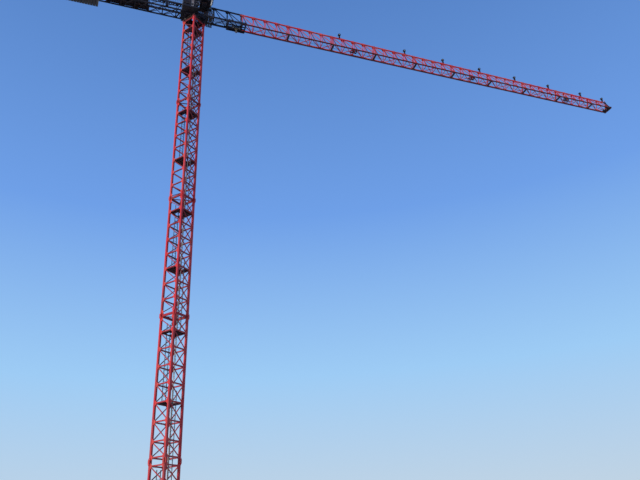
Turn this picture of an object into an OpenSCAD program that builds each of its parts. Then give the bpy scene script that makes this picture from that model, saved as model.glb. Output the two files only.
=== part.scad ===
// Flat-top tower crane, modelled at half of its real size.
// The origin is the middle of the base's underside, +Z is up and the jib points along +X.

/* [Mast] */
// Spacing of the mast's legs, from centre to centre
mast_w = 750; // [700:10:800]
// Side of a mast leg
leg = 84; // [70:1:100]
// Height of one bay of bracing
bay_h = 725; // [600:1:800]
// Side of the level bars between the legs
ring_t = 50; // [30:1:60]
// Side of the slanting bars between the legs
brace_t = 32; // [24:1:50]
// Distance of the slanting bars from the end of a section
joint_gap = 147; // [100:1:200]
// How far a leg's end lugs stand out from the leg
lug_t = 46; // [20:1:60]
// Length of a leg's end lug
lug_h = 150; // [100:1:180]
// Length of the lug's thickest part
lug_flat = 60; // [30:1:80]
// Side of the bars from corner to corner at the section joints
plan_t = 32; // [20:1:40]
// How far the mast is turned under the jib, in degrees
mast_turn = 39; // [0:0.5:45]

/* [Platforms and ladders] */
// Thickness of a rest platform in the mast
rest_t = 30; // [20:1:40]
// Width of the ladder hatch
hatch_w = 300; // [240:1:360]
// Depth of the ladder hatch, from the edge inwards
hatch_d = 290; // [240:1:320]
// Width of a ladder, outside
ladder_w = 220; // [160:1:230]
// Side of a ladder stile
stile = 24; // [16:1:30]
// Diameter of a rung
rung_d = 16; // [10:1:20]
// Distance between rungs
rung_step = 150; // [120:1:180]
// How far a ladder rises above the platform that it leads to
ladder_over = 450; // [300:1:500]

/* [Base] */
// Height of the base, up to the foot of the mast
base_h = 250; // [220:1:400]
// Side of a foot plate
foot_w = 300; // [240:1:360]
// Thickness of a foot plate
foot_t = 36; // [20:1:50]
// Height of the beams that cross under the mast
cross_h = 120; // [80:1:180]
// Width of the beams that cross under the mast
cross_w = 100; // [70:1:140]
// Radius of the circle of anchor bolts round a leg
anchor_pcd_r = 150; // [140:1:160]
// Diameter of an anchor bolt hole
anchor_d = 28; // [20:1:36]

/* [Slewing gear] */
// Height of the support between the mast and the slewing ring
support_h = 120; // [110:1:160]
// Thickness of the support's top plate
support_t = 20; // [14:1:40]
// How far the blocks on the legs stand out from them
support_rim = 26; // [10:1:40]
// Height of the blocks on the legs
support_block_h = 90; // [60:1:100]
// Wall of the tube under the support's top plate
tube_t = 36; // [20:1:50]
// Thickness of the ribs under the support's top plate
rib_t = 14; // [10:1:30]
// Height of the ribs under the support's top plate
rib_h = 56; // [30:1:70]
// Root radius of the teeth on the toothed ring
gear_r = 425; // [400:1:440]
// Depth of the teeth
tooth_h = 14; // [8:1:18]
// Number of teeth
teeth = 96; // [60:4:120]
// Radius of the joint between the two slewing rings
race_r = 350; // [320:1:370]
// Inner radius of the slewing ring
bore_r = 280; // [240:1:300]
// Height of a slewing ring
race_h = 74; // [50:1:90]
// Running clearance in the slewing ring
race_gap = 6; // [5:1:8]
// Thickness of the lip that carries the turning ring on the toothed ring
race_lip = 14; // [10:1:20]
// Gap between the faces that run on each other
run_gap = 0.3; // [0.2:0.1:0.5]

// Radius of the slewing drives' pinions
pinion_r = 36; // [30:1:40]
// Diameter of a slewing drive's gearbox
drive_d = 120; // [100:1:124]
// Height of a slewing drive's gearbox
drive_h = 160; // [120:5:200]
// Diameter of a slewing motor
motor_d = 90; // [70:1:100]
// Height of a slewing motor
motor_h = 140; // [100:5:180]
// Thickness of the plates that carry the slewing drives
drive_plate_t = 20; // [14:1:30]

/* [Head] */
// Height of the turntable's girders
table_h = 200; // [150:5:240]
// Half length of the turntable along the jib
table_x = 520; // [500:5:600]
// Half length of the noses that hold the slewing drives
nose_x = 600; // [560:5:680]
// How far the turntable's girders stay above its lower face
table_flange = 40; // [20:1:60]
// Half length of the head along the jib
head_x = 700; // [660:5:740]
// Half width of the head across the jib
head_y = 380; // [360:5:420]
// Side of the head's columns
column = 90; // [70:1:120]
// Thickness of the head's web plates
web_t = 16; // [10:1:24]
// Radius of the round openings in the web plates
web_hole_r = 100; // [60:5:120]
// Thickness of floor plates
floor_t = 14; // [8:1:20]
// How far the walkway reaches out from the head
walk_w = 400; // [300:5:450]
// Half width of the way up through the head's floor
way_w = 200; // [190:5:220]
// Diameter of the rope sheave on the head
head_sheave_d = 280; // [200:5:320]

/* [Cab] */
// Distance of the cab's back from the mast's axis
cab_x = 205; // [180:5:240]
// Height of the cab's floor above the jib's lower chords
cab_rise = 390; // [360:5:420]
// Length of the cab along the jib
cab_l = 700; // [600:5:800]
// Width of the cab
cab_w = 560; // [500:5:640]
// Height of the cab
cab_h = 1050; // [950:5:1150]
// Thickness of the cab's panels
cab_t = 24; // [16:1:36]
// Length of the slanting part at the foot of the cab's front
cab_slant_l = 140; // [80:5:200]
// Height of the slanting part at the foot of the cab's front
cab_slant_h = 320; // [200:5:400]
// Width of the frames round the cab's windows
cab_rim = 50; // [30:1:70]
// How far the roof stands out over the cab's front
cab_visor = 50; // [20:5:80]
// Gap between the head and the cab
cab_gap = 60; // [40:1:120]
// Thickness of the cab's glass
glass_t = 8; // [6:1:12]

/* [Jib] */
// Spacing of the jib's two lower chords, from centre to centre
jib_gauge = 510; // [480:2:540]
// Distance of the first jib joint from the mast's axis
jib_first = 2700; // [2600:1:2800]
// Length of one jib section
jib_section = 2822; // [2400:1:3000]
// Number of equal jib sections
jib_sections = 9;
// Length of the jib's end piece
jib_tip = 1640; // [1500:1:1900]
// Height of the jib at the first joint, from chord to chord
jib_depth = 967; // [900:1:1020]
// Height of the jib at the last joint
jib_depth_end = 667; // [600:1:720]
// Height of the jib's lower chords above the top of the mast
jib_rise = 560; // [540:1:600]
// Side of a lower chord
chord = 64; // [50:1:70]
// Side of the upper chord
top_chord = 64; // [50:1:70]
// Side of the jib's bracing
lacing = 32; // [24:1:40]
// Side of the bars across the jib at its joints
joint_bar = 54; // [40:1:60]
// Length of the plates where bars meet the upper chord
knot_l = 190; // [100:5:200]
// Width over the plates where bars meet the upper chord
knot_w = 84; // [72:1:100]
// Height of the plates where bars meet the upper chord
knot_h = 120; // [70:1:140]
// Length of the pin lugs at the ends of a jib section
pin_lug_l = 110; // [80:5:150]
// Thickness of the pin lugs at the ends of a jib section
pin_lug_t = 14; // [8:1:20]
// Distance of the root's first frame from the mast's axis
root_frame_1 = 1074; // [1050:1:1120]
// Distance of the root's second frame from the mast's axis
root_frame_2 = 1851; // [1800:1:1900]
// Width of the running ledge on a lower chord
ledge_w = 36; // [30:1:44]
// Thickness of the running ledge
ledge_t = 10; // [8:1:12]
// Half thickness of the plate that closes the jib's end
end_plate = 30; // [15:1:40]
// Diameter of the sheave at the jib's end
end_sheave_d = 150; // [100:5:180]
// Height of a lamp on the jib
lamp_h = 340; // [250:5:400]
// Width of a lamp's head
lamp_w = 150; // [100:5:180]

/* [Counter-jib] */
// Spacing of the counter-jib's girders, from centre to centre
counter_gauge = 612; // [590:2:640]
// Length of the counter-jib from the mast's axis
counter_l = 6960; // [6600:10:7200]
// How far the counter-jib's lower chords are under those of the jib
counter_sink = 75; // [50:1:90]
// Depth of the counter-jib's girders, from chord to chord
counter_depth = 410; // [360:5:440]
// Side of a counter-jib chord
counter_chord = 60; // [50:1:70]
// Distance of the counter-jib's first cross bar from the mast's axis
counter_first = 1015; // [960:5:1060]
// Length of a panel of the counter-jib
counter_panel = 734; // [700:1:760]
// Distance of the machinery floor from the mast's axis
floor_out = 2530; // [2400:5:2600]
// Height of the hand rails
rail_h = 500; // [450:5:550]
// Diameter of the hand rails
rail_d = 20; // [12:1:26]

/* [Counterweights] */
// Number of ballast slabs
slabs = 13; // [10:1:13]
// Thickness of a ballast slab
slab_t = 120; // [100:1:125]
// Distance from one slab to the next
slab_step = 136; // [130:1:140]
// Height of the shoulders that a ballast slab hangs by
shoulder_h = 110; // [80:5:140]
// How far the slabs hang below the jib's lower chords
slab_drop = 620; // [560:5:780]
// Gap between a slab and the girders beside it
slab_gap = 12; // [8:1:20]

/* [Trolley and hook] */
// Place of the trolley's middle along the jib
trolley_x = 2400; // [2350:5:2500]
// Length of the trolley
trolley_l = 1080; // [1000:5:1080]
// Diameter of a trolley wheel
wheel_d = 90; // [80:1:100]
// Width of a trolley wheel
wheel_w = 24; // [20:1:28]
// Gap between the trolley's wheels and the sides of the chords
wheel_gap = 6; // [5:1:8]
// Height of the trolley's beams
trolley_h = 70; // [60:2:80]
// Gap between the jib's lower chords and the trolley's beams
trolley_gap = 14; // [12:1:20]
// Distance of the trolley's inner plates from the middle
frame_y = 74; // [64:1:90]
// Diameter of the trolley's sheaves
sheave_d = 160; // [140:2:180]
// Diameter of the hook block's sheave
hook_sheave_d = 180; // [160:2:200]
// Width of a sheave
sheave_w = 24; // [18:1:30]
// Thickness of the trolley's and the hook block's plates
plate_t = 16; // [12:1:20]
// Diameter of a rope
rope_d = 12; // [8:1:14]
// Distance of the hook block's plates from the middle
block_y = 20; // [16:1:24]
// Height of the trolley's sheaves above the hook block's when it is hauled up
hook_gap = 120; // [80:5:200]
// Length of the hook's shank under the block
shank_l = 60; // [40:1:80]
// Length of the hook's tapering tip
hook_tip = 46; // [30:1:60]
// Thickness of the hook
hook_t = 44; // [30:1:50]
// Radius of the hook's bend
hook_r = 60; // [50:1:80]

/* [Hidden] */
MAST_SECTIONS = 5;
SECTION_BAYS = 8;
// Bays with a rest platform on top, in each section
REST_BAYS = [3, 7];
// Joints at which the level bars keep clear of the joint, counted from the base
SPREAD_JOINTS = [0, 1];
// Sections with a bar from corner to corner at the top
PLAN_SECTIONS = [2, 3, 4];
PANELS = 4;
$fn = 48;

// Gap under a piece that stands on the next one
seat = 0.5;
section_h = SECTION_BAYS * bay_h;
mast_top = base_h + MAST_SECTIONS * section_h;
jib_z = mast_top + jib_rise;
half_w = mast_w / 2;
support_top = mast_top + support_h;
race_z = support_top + race_gap;
table_z = support_top + race_h + run_gap + race_lip;
deck_z = table_z + table_h;
counter_z = jib_z - counter_sink;
counter_floor_z = counter_z + counter_depth + counter_chord / 2;
jib_end_x = jib_first + jib_sections * jib_section;
head_top = jib_z + depth_at(head_x) + top_chord / 2;
drive_x = gear_r + tooth_h + race_gap + pinion_r;
red = [0.78, 0.16, 0.12];
navy = [0.06, 0.07, 0.13];
grey = [0.55, 0.57, 0.58];

// A square bar between two points
module bar(p, q, t) {
    v = q - p;
    translate(p)
        rotate([0, acos(v[2] / norm(v)), atan2(v[1], v[0])])
            rotate(45) cylinder(h = norm(v), r = t / sqrt(2), $fn = 4);
}

// A round bar between two points
module rod(p, q, d) {
    v = q - p;
    translate(p)
        rotate([0, acos(v[2] / norm(v)), atan2(v[1], v[0])])
            cylinder(h = norm(v), d = d, $fn = 6);
}

// A box given by two opposite corners
module block(p, q) {
    translate(p) cube(q - p);
}

// A flat plate in the plane of the jib, from y = 0 to y = -t, given by its outline in X and Z
module plate_xz(points, t) {
    rotate([90, 0, 0]) linear_extrude(t) polygon(points);
}

// The same shape on both sides of the jib's middle plane
module both_sides() {
    children();
    mirror([0, 1, 0]) children();
}

// Mast

function inner_bays() = [for (i = [1:SECTION_BAYS - 1]) i * bay_h];
function is_in(x, list) = len([for (y = list) if (x == y) y]) > 0;
function end_ring(joint) = is_in(joint, SPREAD_JOINTS) ? joint_gap : ring_t / 2 + seat;

// The bars of one flat side of a mast section, from leg axis to leg axis
module side_bars(section) {
    levels = [end_ring(section - 1), each inner_bays(), section_h - end_ring(section)];
    knots = [joint_gap, each inner_bays(), section_h - joint_gap];
    for (z = levels) block([-half_w, -ring_t / 2, z - ring_t / 2], [half_w, ring_t / 2, z + ring_t / 2]);
    for (i = [0:len(knots) - 2]) bar([-half_w, 0, knots[i + 1]], [half_w, 0, knots[i]], brace_t);
}

// The lugs at a leg's foot, on its two outer faces
module leg_lugs() {
    profile = [[leg / 2 - 1, 0], [leg / 2 + lug_t, 0], [leg / 2 + lug_t, lug_flat], [leg / 2, lug_h],
               [leg / 2 - 1, lug_h]];
    for (a = [0, -90]) rotate(a) translate([0, leg / 2, 0]) plate_xz(profile, leg);
}

// A leg on the +X, -Y corner, with the lugs at its two ends
module mast_leg() {
    block([-leg / 2, -leg / 2, seat], [leg / 2, leg / 2, section_h]);
    translate([0, 0, seat]) leg_lugs();
    translate([0, 0, section_h]) mirror([0, 0, 1]) leg_lugs();
}

module place_on_mast(section) {
    translate([0, 0, base_h + (section - 1) * section_h]) rotate(mast_turn) children();
}

module mast_sides(section) {
    color(red) place_on_mast(section)
        for (a = [0, 180]) rotate(a) translate([0, -half_w, 0]) {
            translate([half_w, 0, 0]) mast_leg();
            translate([-half_w, 0, 0]) mirror([1, 0, 0]) mast_leg();
            side_bars(section);
        }
}

// The bars of the other two sides, between the legs, and the bar from corner to corner
module mast_bracing(section) {
    reach = (half_w - leg / 2) - seat;
    plan_z = section_h - ring_t / 2 - seat;
    color(red) place_on_mast(section) {
        for (a = [90, 270]) rotate(a) translate([0, -half_w, 0])
            intersection() {
                side_bars(section);
                block([-half_w + leg / 2, -leg, 0], [half_w - leg / 2, leg, section_h]);
            }
        if (is_in(section, PLAN_SECTIONS)) bar([-reach, reach, plan_z], [reach, -reach, plan_z], plan_t);
    }
}

// Side of the square that is free between the level bars
inner_w = mast_w - ring_t;

// One rest platform: a plate between the level bars, with a hatch at one edge
module rest_platform() {
    leg_cut = leg / 2 - ring_t / 2 + 2;
    edge = inner_w / 2;
    difference() {
        block([-edge, -edge, -rest_t / 2], [edge, edge, rest_t / 2]);
        block([-hatch_w / 2, -edge - 1, -rest_t], [hatch_w / 2, hatch_d - edge, rest_t]);
        for (a = [0:90:270]) rotate(a) translate([edge - leg_cut, edge - leg_cut, -rest_t]) cube(2 * rest_t);
    }
}

rest_levels = [for (s = [0:MAST_SECTIONS - 1]) for (b = REST_BAYS) base_h + s * section_h + b * bay_h];

module mast_platforms() {
    color(grey) for (i = [0:len(rest_levels) - 1])
        translate([0, 0, rest_levels[i]]) rotate(mast_turn + 180 * (i % 2)) rest_platform();
}

// One ladder, standing on z = 0, with its rungs along X
module ladder(height) {
    reach = (ladder_w - stile) / 2;
    for (x = [-reach, reach]) block([x - stile / 2, -stile / 2, 0], [x + stile / 2, stile / 2, height]);
    for (z = [rung_step:rung_step:height - rung_step / 2]) rod([-reach, 0, z], [reach, 0, z], rung_d);
}

ladder_y = inner_w / 2 - 60;

module mast_ladders() {
    floors = concat([cross_h], [for (z = rest_levels) z + rest_t / 2]);
    color(grey) for (i = [0:len(rest_levels) - 1])
        translate([0, 0, floors[i]]) rotate(mast_turn + 180 * (i % 2)) translate([0, -ladder_y, 0])
            ladder(min(floors[i + 1] + ladder_over, mast_top) - floors[i]);
}

// Base

module base_frame() {
    sill = inner_w / 2 - ladder_y;
    color(red) rotate(mast_turn) difference() {
        union() {
            for (a = [0, 90]) rotate(a) block([-half_w, -cross_w / 2, 0], [half_w, cross_w / 2, cross_h]);
            for (x = [-half_w, half_w]) for (y = [-half_w, half_w]) translate([x, y, 0]) {
                block([-foot_w / 2, -foot_w / 2, 0], [foot_w / 2, foot_w / 2, foot_t]);
                block([-leg / 2, -leg / 2, 0], [leg / 2, leg / 2, base_h]);
            }
            for (a = [0:90:270]) rotate(a) {
                block([-half_w, -half_w - ring_t / 2, base_h - 2 * ring_t],
                      [half_w, -half_w + ring_t / 2, base_h - ring_t]);
                block([-half_w, -half_w - cross_w / 4, 0], [half_w, -half_w + cross_w / 4, cross_h]);
            }
            for (a = [0, 180]) rotate(a)
                block([-ladder_w, -inner_w / 2, 0], [ladder_w, -inner_w / 2 + 2 * sill, cross_h]);
        }
        for (x = [-half_w, half_w]) for (y = [-half_w, half_w]) for (a = [0:90:270])
            translate([x, y, -1]) rotate(a + 45) translate([anchor_pcd_r, 0, 0])
                cylinder(d = anchor_d, h = foot_t + 2);
    }
}

// Slewing gear

// The mast's top: a ribbed plate on four short legs
module ring_support() {
    under = support_h - support_t;
    rib_z = under - rib_h;
    rib_end = bore_r + tube_t / 2;
    cap = leg / 2 + support_rim;
    color(red) translate([0, 0, mast_top]) difference() {
        rotate(mast_turn) {
            for (x = [-half_w, half_w]) for (y = [-half_w, half_w]) {
                block([x - leg / 2, y - leg / 2, seat], [x + leg / 2, y + leg / 2, support_h - 2]);
                block([x - cap, y - cap, support_h - support_block_h], [x + cap, y + cap, support_h - 1]);
            }
            block([-half_w - 6, -half_w - 6, under], [half_w + 6, half_w + 6, support_h]);
            for (a = [0:90:270]) rotate(a) {
                block([-half_w, -half_w - rib_t, rib_z], [half_w, -half_w, under + 1]);
                block([-rib_t / 2, -half_w - 1, rib_z + 4], [rib_t / 2, -rib_end, under + 2]);
                rotate(45) block([-rib_t / 2, -half_w * sqrt(2), rib_z + 8], [rib_t / 2, -rib_end, under + 3]);
            }
            translate([0, 0, rib_z + 2]) cylinder(r = bore_r + tube_t, h = rib_h + 2);
        }
        translate([0, 0, -1]) cylinder(r = bore_r, h = support_h + 2);
    }
}

// Outline of the toothed ring
module gear_outline() {
    pitch = 360 / teeth;
    function at(r, a) = [r * cos(a), r * sin(a)];
    polygon([for (i = [0:teeth - 1]) each [
        at(gear_r, (i + 0.05) * pitch), at(gear_r + tooth_h, (i + 0.27) * pitch),
        at(gear_r + tooth_h, (i + 0.52) * pitch), at(gear_r, (i + 0.74) * pitch)]]);
}

// The toothed outer ring, which stays still
module slewing_gear() {
    color(grey) translate([0, 0, support_top]) difference() {
        linear_extrude(race_h) gear_outline();
        translate([0, 0, -1]) cylinder(r = race_r + race_gap / 2, h = race_h + 2);
    }
}

// The turning inner ring, with the lip that carries it
module slewing_race() {
    color(grey) difference() {
        union() {
            translate([0, 0, race_z]) cylinder(r = race_r - race_gap / 2, h = table_z - race_z);
            translate([0, 0, table_z - race_lip]) cylinder(r = race_r + race_lip * 2, h = race_lip);
        }
        translate([0, 0, race_z - 1]) cylinder(r = bore_r, h = table_z - race_z + 2);
    }
}

// Head

module turntable() {
    girder_z = table_z + table_flange;
    color(navy) difference() {
        union() {
            translate([0, 0, table_z]) cylinder(r = race_r + 20, h = table_h);
            both_sides() block([-table_x, head_y - column, girder_z], [table_x, head_y, deck_z]);
            for (x = [-table_x, -column / 2, table_x - column])
                block([x, -head_y, girder_z], [x + column, head_y, deck_z]);
            block([-nose_x, -drive_d, deck_z - drive_plate_t], [nose_x, drive_d, deck_z]);
            for (x = [-nose_x, table_x - column])
                block([x, -drive_d, girder_z], [x + nose_x - table_x + column, drive_d, deck_z - 1]);
        }
        translate([0, 0, table_z - 1]) cylinder(r = bore_r, h = table_h + 2);
        for (x = [-drive_x, drive_x]) translate([x, 0, table_z])
            cylinder(r = pinion_r + race_gap / 2, h = table_h + 1);
    }
}

// The rope sheave on the head with its two cheeks, standing on z = 0
module head_sheave() {
    r = head_sheave_d / 2;
    axle_z = r * 0.8;
    both_sides() difference() {
        translate([0, sheave_w + plate_t, 0])
            plate_xz([[-r, -1], [r, -1], [r * 0.35, axle_z + r * 0.4], [-r * 0.35, axle_z + r * 0.4]], plate_t);
    }
    translate([0, 0, axle_z + r * 0.4 - r * 0.2]) rotate([90, 0, 0]) {
        cylinder(r = r * 0.8, h = sheave_w, center = true);
        cylinder(r = r * 0.15, h = 2 * sheave_w + 2, center = true);
    }
}

box_end_x = head_x * 0.14;

// The head's box frame, which carries the jib in front and the counter-jib behind
module head_frame() {
    x0 = head_x - column;
    y0 = head_y - column;
    mid = cab_z - column;
    top = head_top - column;
    web_y = head_y - (column - web_t) / 2;
    color(navy) {
        both_sides() {
            for (x = [-head_x, x0]) block([x, y0, deck_z], [x + column, head_y, head_top]);
            for (z = [deck_z, mid, top]) block([-head_x, y0, z], [head_x, head_y, z + column]);
            for (side = [-1, 1])
                bar([side * (x0 + column / 2), y0 + column / 2, deck_z + column / 2],
                    [0, y0 + column / 2, top + column / 2], brace_t);
            difference() {
                block([-x0 - 1, web_y - web_t, deck_z + column - 1], [-column, web_y, mid + 1]);
                translate([-x0 / 2 - column / 2, 0, (deck_z + column + mid) / 2]) rotate([-90, 0, 0])
                    cylinder(r = web_hole_r, h = head_y);
            }
            block([-x0 - 1, web_y - web_t, mid + column - 1], [box_end_x, web_y, top + 1]);
        }
        for (x = [-head_x, -column / 2, x0]) block([x, -y0, top], [x + column, y0, head_top]);
        for (x = [-head_x, x0]) block([x, -y0, deck_z], [x + column, y0, deck_z + column]);
        block([-head_x, -y0, mid], [-x0, y0, mid + column]);
        translate([0, 0, head_top]) head_sheave();
    }
}

// Slats between two stringers, from x = a to x = b
module slatted_floor(a, b, y0, y1, z, step) {
    for (y = [y0, y1 - slat_w]) block([a, y, z - floor_t], [b, y + slat_w, z]);
    for (i = [0:floor((b - a - slat_w) / step)])
        block([a + i * step, y0, z - floor_t], [a + i * step + slat_w, y1, z]);
}

slat_w = 48;
platform_z = jib_z - chord / 2 - 150;

// The walkway beside the head, the head's floor and the platform in front of the turntable
module head_walkways() {
    x0 = head_x - column;
    y0 = head_y - column;
    front_0 = head_x + 20;
    front_1 = root_frame_1 - joint_bar / 2 - 10;
    color(navy) {
        block([-head_x - 40, -head_y - walk_w, deck_z - floor_t], [cab_x - 40, -head_y, deck_z]);
        for (x = [-head_x, -head_x / 2, 0])
            block([x, -head_y - walk_w, deck_z - 3 * floor_t], [x + 2 * floor_t, -head_y, deck_z - floor_t + 1]);
        difference() {
            block([-x0, -y0, deck_z], [cab_x, y0, deck_z + floor_t]);
            block([-way_w, -way_w, deck_z - 1], [way_w, way_w, deck_z + floor_t + 1]);
            block([-x0 - 1, -y0 / 2, deck_z - 1], [-head_x * 0.64, y0 + 1, deck_z + floor_t + 1]);
            translate([-drive_x, 0, deck_z - 1]) cylinder(r = drive_d / 2 + 5, h = floor_t + 2);
        }
        slatted_floor(front_0, front_1, -head_y, head_y, platform_z, 100);
        both_sides() for (x = [front_0, front_1 - floor_t * 2])
            block([x, jib_gauge / 2 - floor_t, platform_z - 1], [x + floor_t * 2, jib_gauge / 2 + floor_t, jib_z - chord / 2]);
    }
}

// Slewing motors with their gearboxes, on the turntable's front and back
module slewing_drives() {
    pinion_z = support_top + race_gap;
    color(grey) for (x = [-drive_x, drive_x]) translate([x, 0, 0]) {
        translate([0, 0, pinion_z]) cylinder(r = pinion_r, h = deck_z - pinion_z);
        translate([0, 0, deck_z]) cylinder(d = drive_d, h = drive_h);
        translate([0, 0, deck_z + drive_h]) cylinder(d = motor_d, h = motor_h);
    }
}

// Cab

cab_y = -head_y - cab_gap;
cab_z = jib_z + cab_rise;
cab_window_z = cab_slant_h + cab_rim;
cab_window_h = cab_h - cab_rim - cab_window_z;

module place_cab() {
    translate([cab_x, cab_y, cab_z]) children();
}

// Outline of the cab seen from its side, drawn in by t
function cab_outline(t) = [
    [t, t], [cab_l - cab_slant_l - t / 3, t], [cab_l - t, cab_slant_h], [cab_l - t, cab_h - t], [t, cab_h - t]];

// The windows: two side windows, the front window and the slanting one, each as thick as t
module cab_windows(t) {
    mid = (cab_t - t) / 2;
    k = cab_slant_h / norm([cab_slant_l, cab_slant_h]);
    foot = [cab_l - cab_slant_l * 0.85, cab_slant_h * 0.15];
    high = [cab_l - cab_slant_l * 0.15, cab_slant_h * 0.85];
    off = [-k, cab_slant_l / cab_slant_h * k];
    for (y = [-mid - t, -cab_w + mid])
        block([cab_rim, y, cab_window_z], [cab_l - 2 * cab_rim, y + t, cab_window_z + cab_window_h]);
    block([cab_l - mid - t, cab_rim - cab_w, cab_window_z], [cab_l - mid, -cab_rim, cab_window_z + cab_window_h]);
    translate([0, -cab_rim, 0])
        plate_xz([foot + mid * off, high + mid * off, high + (mid + t) * off, foot + (mid + t) * off],
                 cab_w - 2 * cab_rim);
}

module cab_shell() {
    color("gainsboro") place_cab() {
        difference() {
            plate_xz(cab_outline(0), cab_w);
            translate([0, -cab_t, 0]) plate_xz(cab_outline(cab_t), cab_w - 2 * cab_t);
            cab_windows(cab_t + 12);
        }
        block([-cab_t, -cab_w - cab_t, cab_h - 1], [cab_l + cab_visor, cab_t, cab_h + cab_t]);
    }
    color(navy) for (x = [cab_x + cab_rim, head_x - column])
        block([x, cab_y - cab_w, cab_z - cab_rim], [x + column / 2, -head_y, cab_z]);
}

module cab_glass() {
    color("lightblue") place_cab() cab_windows(glass_t);
}

// Jib

function depth_at(x) =
    jib_depth - (jib_depth - jib_depth_end) * (x - jib_first) / (jib_sections * jib_section);

// A length of jib with frames at the given places, in the jib's own frame
module jib_truss(xs) {
    last = len(xs) - 1;
    a = xs[0];
    b = xs[last];
    half = jib_gauge / 2;
    intersection() {
        bar([a - chord, 0, depth_at(a - chord)], [b + chord, 0, depth_at(b + chord)], top_chord);
        block([a, -chord, 0], [b, chord, 2 * jib_depth]);
    }
    for (x = xs)
        block([max(x - knot_l / 2, a), -knot_w / 2, depth_at(x) + top_chord / 2 + 6 - knot_h],
              [min(x + knot_l / 2, b), knot_w / 2, depth_at(x) + top_chord / 2 + 6]);
    both_sides() {
        block([a, half - chord / 2, -chord / 2], [b, half + chord / 2, chord / 2]);
        block([a, half, -chord / 2], [b, half + chord / 2 + ledge_w, -chord / 2 + ledge_t]);
        for (x = [a, b - pin_lug_l])
            block([x, half - chord / 2 - pin_lug_t, -chord / 2 + pin_lug_t],
                  [x + pin_lug_l, half + chord / 2 - pin_lug_t, chord / 2 + pin_lug_t]);
        for (x = xs) {
            post_x = min(max(x, a + lacing), b - lacing);
            bar([post_x, half, 0], [post_x, 0, depth_at(post_x)], lacing);
        }
        for (i = [0:last - 1])
            bar([xs[i] + lacing, 0, depth_at(xs[i] + lacing)], [xs[i + 1] - lacing, half, 0], lacing);
    }
    for (i = [0:last]) {
        t = i == 0 || i == last ? joint_bar : lacing;
        x = min(max(xs[i], a + t / 2), b - t / 2);
        block([x - t / 2, -half, -t / 2], [x + t / 2, half, t / 2]);
    }
    for (i = [0:last - 1]) {
        side = i % 2 == 0 ? 1 : -1;
        bar([xs[i] + lacing, -side * half, 0], [xs[i + 1] - lacing, side * half, 0], lacing);
    }
}

module jib_section_of(number) {
    a = jib_first + (number - 1) * jib_section;
    color(red) translate([0, 0, jib_z]) jib_truss([for (i = [0:PANELS]) a + i * jib_section / PANELS]);
}

// The dark root section, with a heavier first frame
module jib_root() {
    half = jib_gauge / 2;
    t = joint_bar;
    color(navy) translate([0, 0, jib_z]) {
        jib_truss([head_x, root_frame_1, root_frame_2, jib_first]);
        both_sides() bar([root_frame_1, half, 0], [root_frame_1, 0, depth_at(root_frame_1)], t);
        block([root_frame_1 - t / 2, -half, -t / 2], [root_frame_1 + t / 2, half, t / 2]);
    }
}

// The jib's end piece, with the sheave that turns the trolley rope
module jib_end() {
    half = jib_gauge / 2;
    tip = jib_end_x + jib_tip;
    r = end_sheave_d / 2;
    color(red) translate([0, 0, jib_z]) {
        jib_truss([jib_end_x, jib_end_x + jib_tip / 2, tip]);
        block([tip - end_plate, -half - chord, -chord], [tip + end_plate, half + chord, chord]);
        block([tip - end_plate, -chord, chord - 1], [tip + end_plate, chord, depth_at(tip) * 0.8]);
        both_sides() bar([tip, half, 0], [tip, chord / 2, depth_at(tip) * 0.7], joint_bar);
    }
    color(navy) translate([tip + end_plate, 0, jib_z]) {
        both_sides() block([-1, sheave_w, -plate_t], [r, sheave_w + plate_t, 2 * r]);
        translate([r * 0.6, 0, r]) rotate([90, 0, 0]) {
            cylinder(r = r * 0.9, h = sheave_w, center = true);
            cylinder(r = r * 0.2, h = 2 * sheave_w + 2, center = true);
        }
    }
}

lamp_xs = [jib_first + 2.19 * jib_section, for (i = [3:jib_sections - 1]) jib_first + (i + 0.79) * jib_section,
           jib_end_x + 0.84 * jib_tip];

module jib_lamps() {
    foot = 30;
    head = lamp_h / 4;
    color(navy) for (x = lamp_xs) translate([x, 0, jib_z + depth_at(x) + top_chord / 2 + seat]) {
        rod([0, 0, 0], [0, 0, lamp_h - head], foot);
        block([-lamp_w / 2, -lamp_w / 3, lamp_h - head], [lamp_w / 2, lamp_w / 3, lamp_h]);
    }
}

// Boxes with rollers that hold up the trolley rope
module rope_rollers() {
    color(navy) for (i = [2.5, 5.5, 8.25]) translate([jib_first + i * jib_section, 0, jib_z + lacing / 2]) {
        both_sides() block([-70, 50, 0], [70, 62, 70]);
        block([-70, -50, 0], [70, 50, 12]);
        for (x = [-40, 40]) translate([x, 0, 45]) rotate([90, 0, 0]) cylinder(d = 36, h = 102, center = true);
    }
}

// Counter-jib

slab_x0 = counter_l - 142;
slab_in = slab_x0 - slabs * slab_step;
counter_n = floor((counter_l - counter_first - counter_panel / 3) / counter_panel);
counter_xs = [-head_x - counter_chord / 2, for (i = [0:counter_n]) -counter_first - i * counter_panel];

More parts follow.
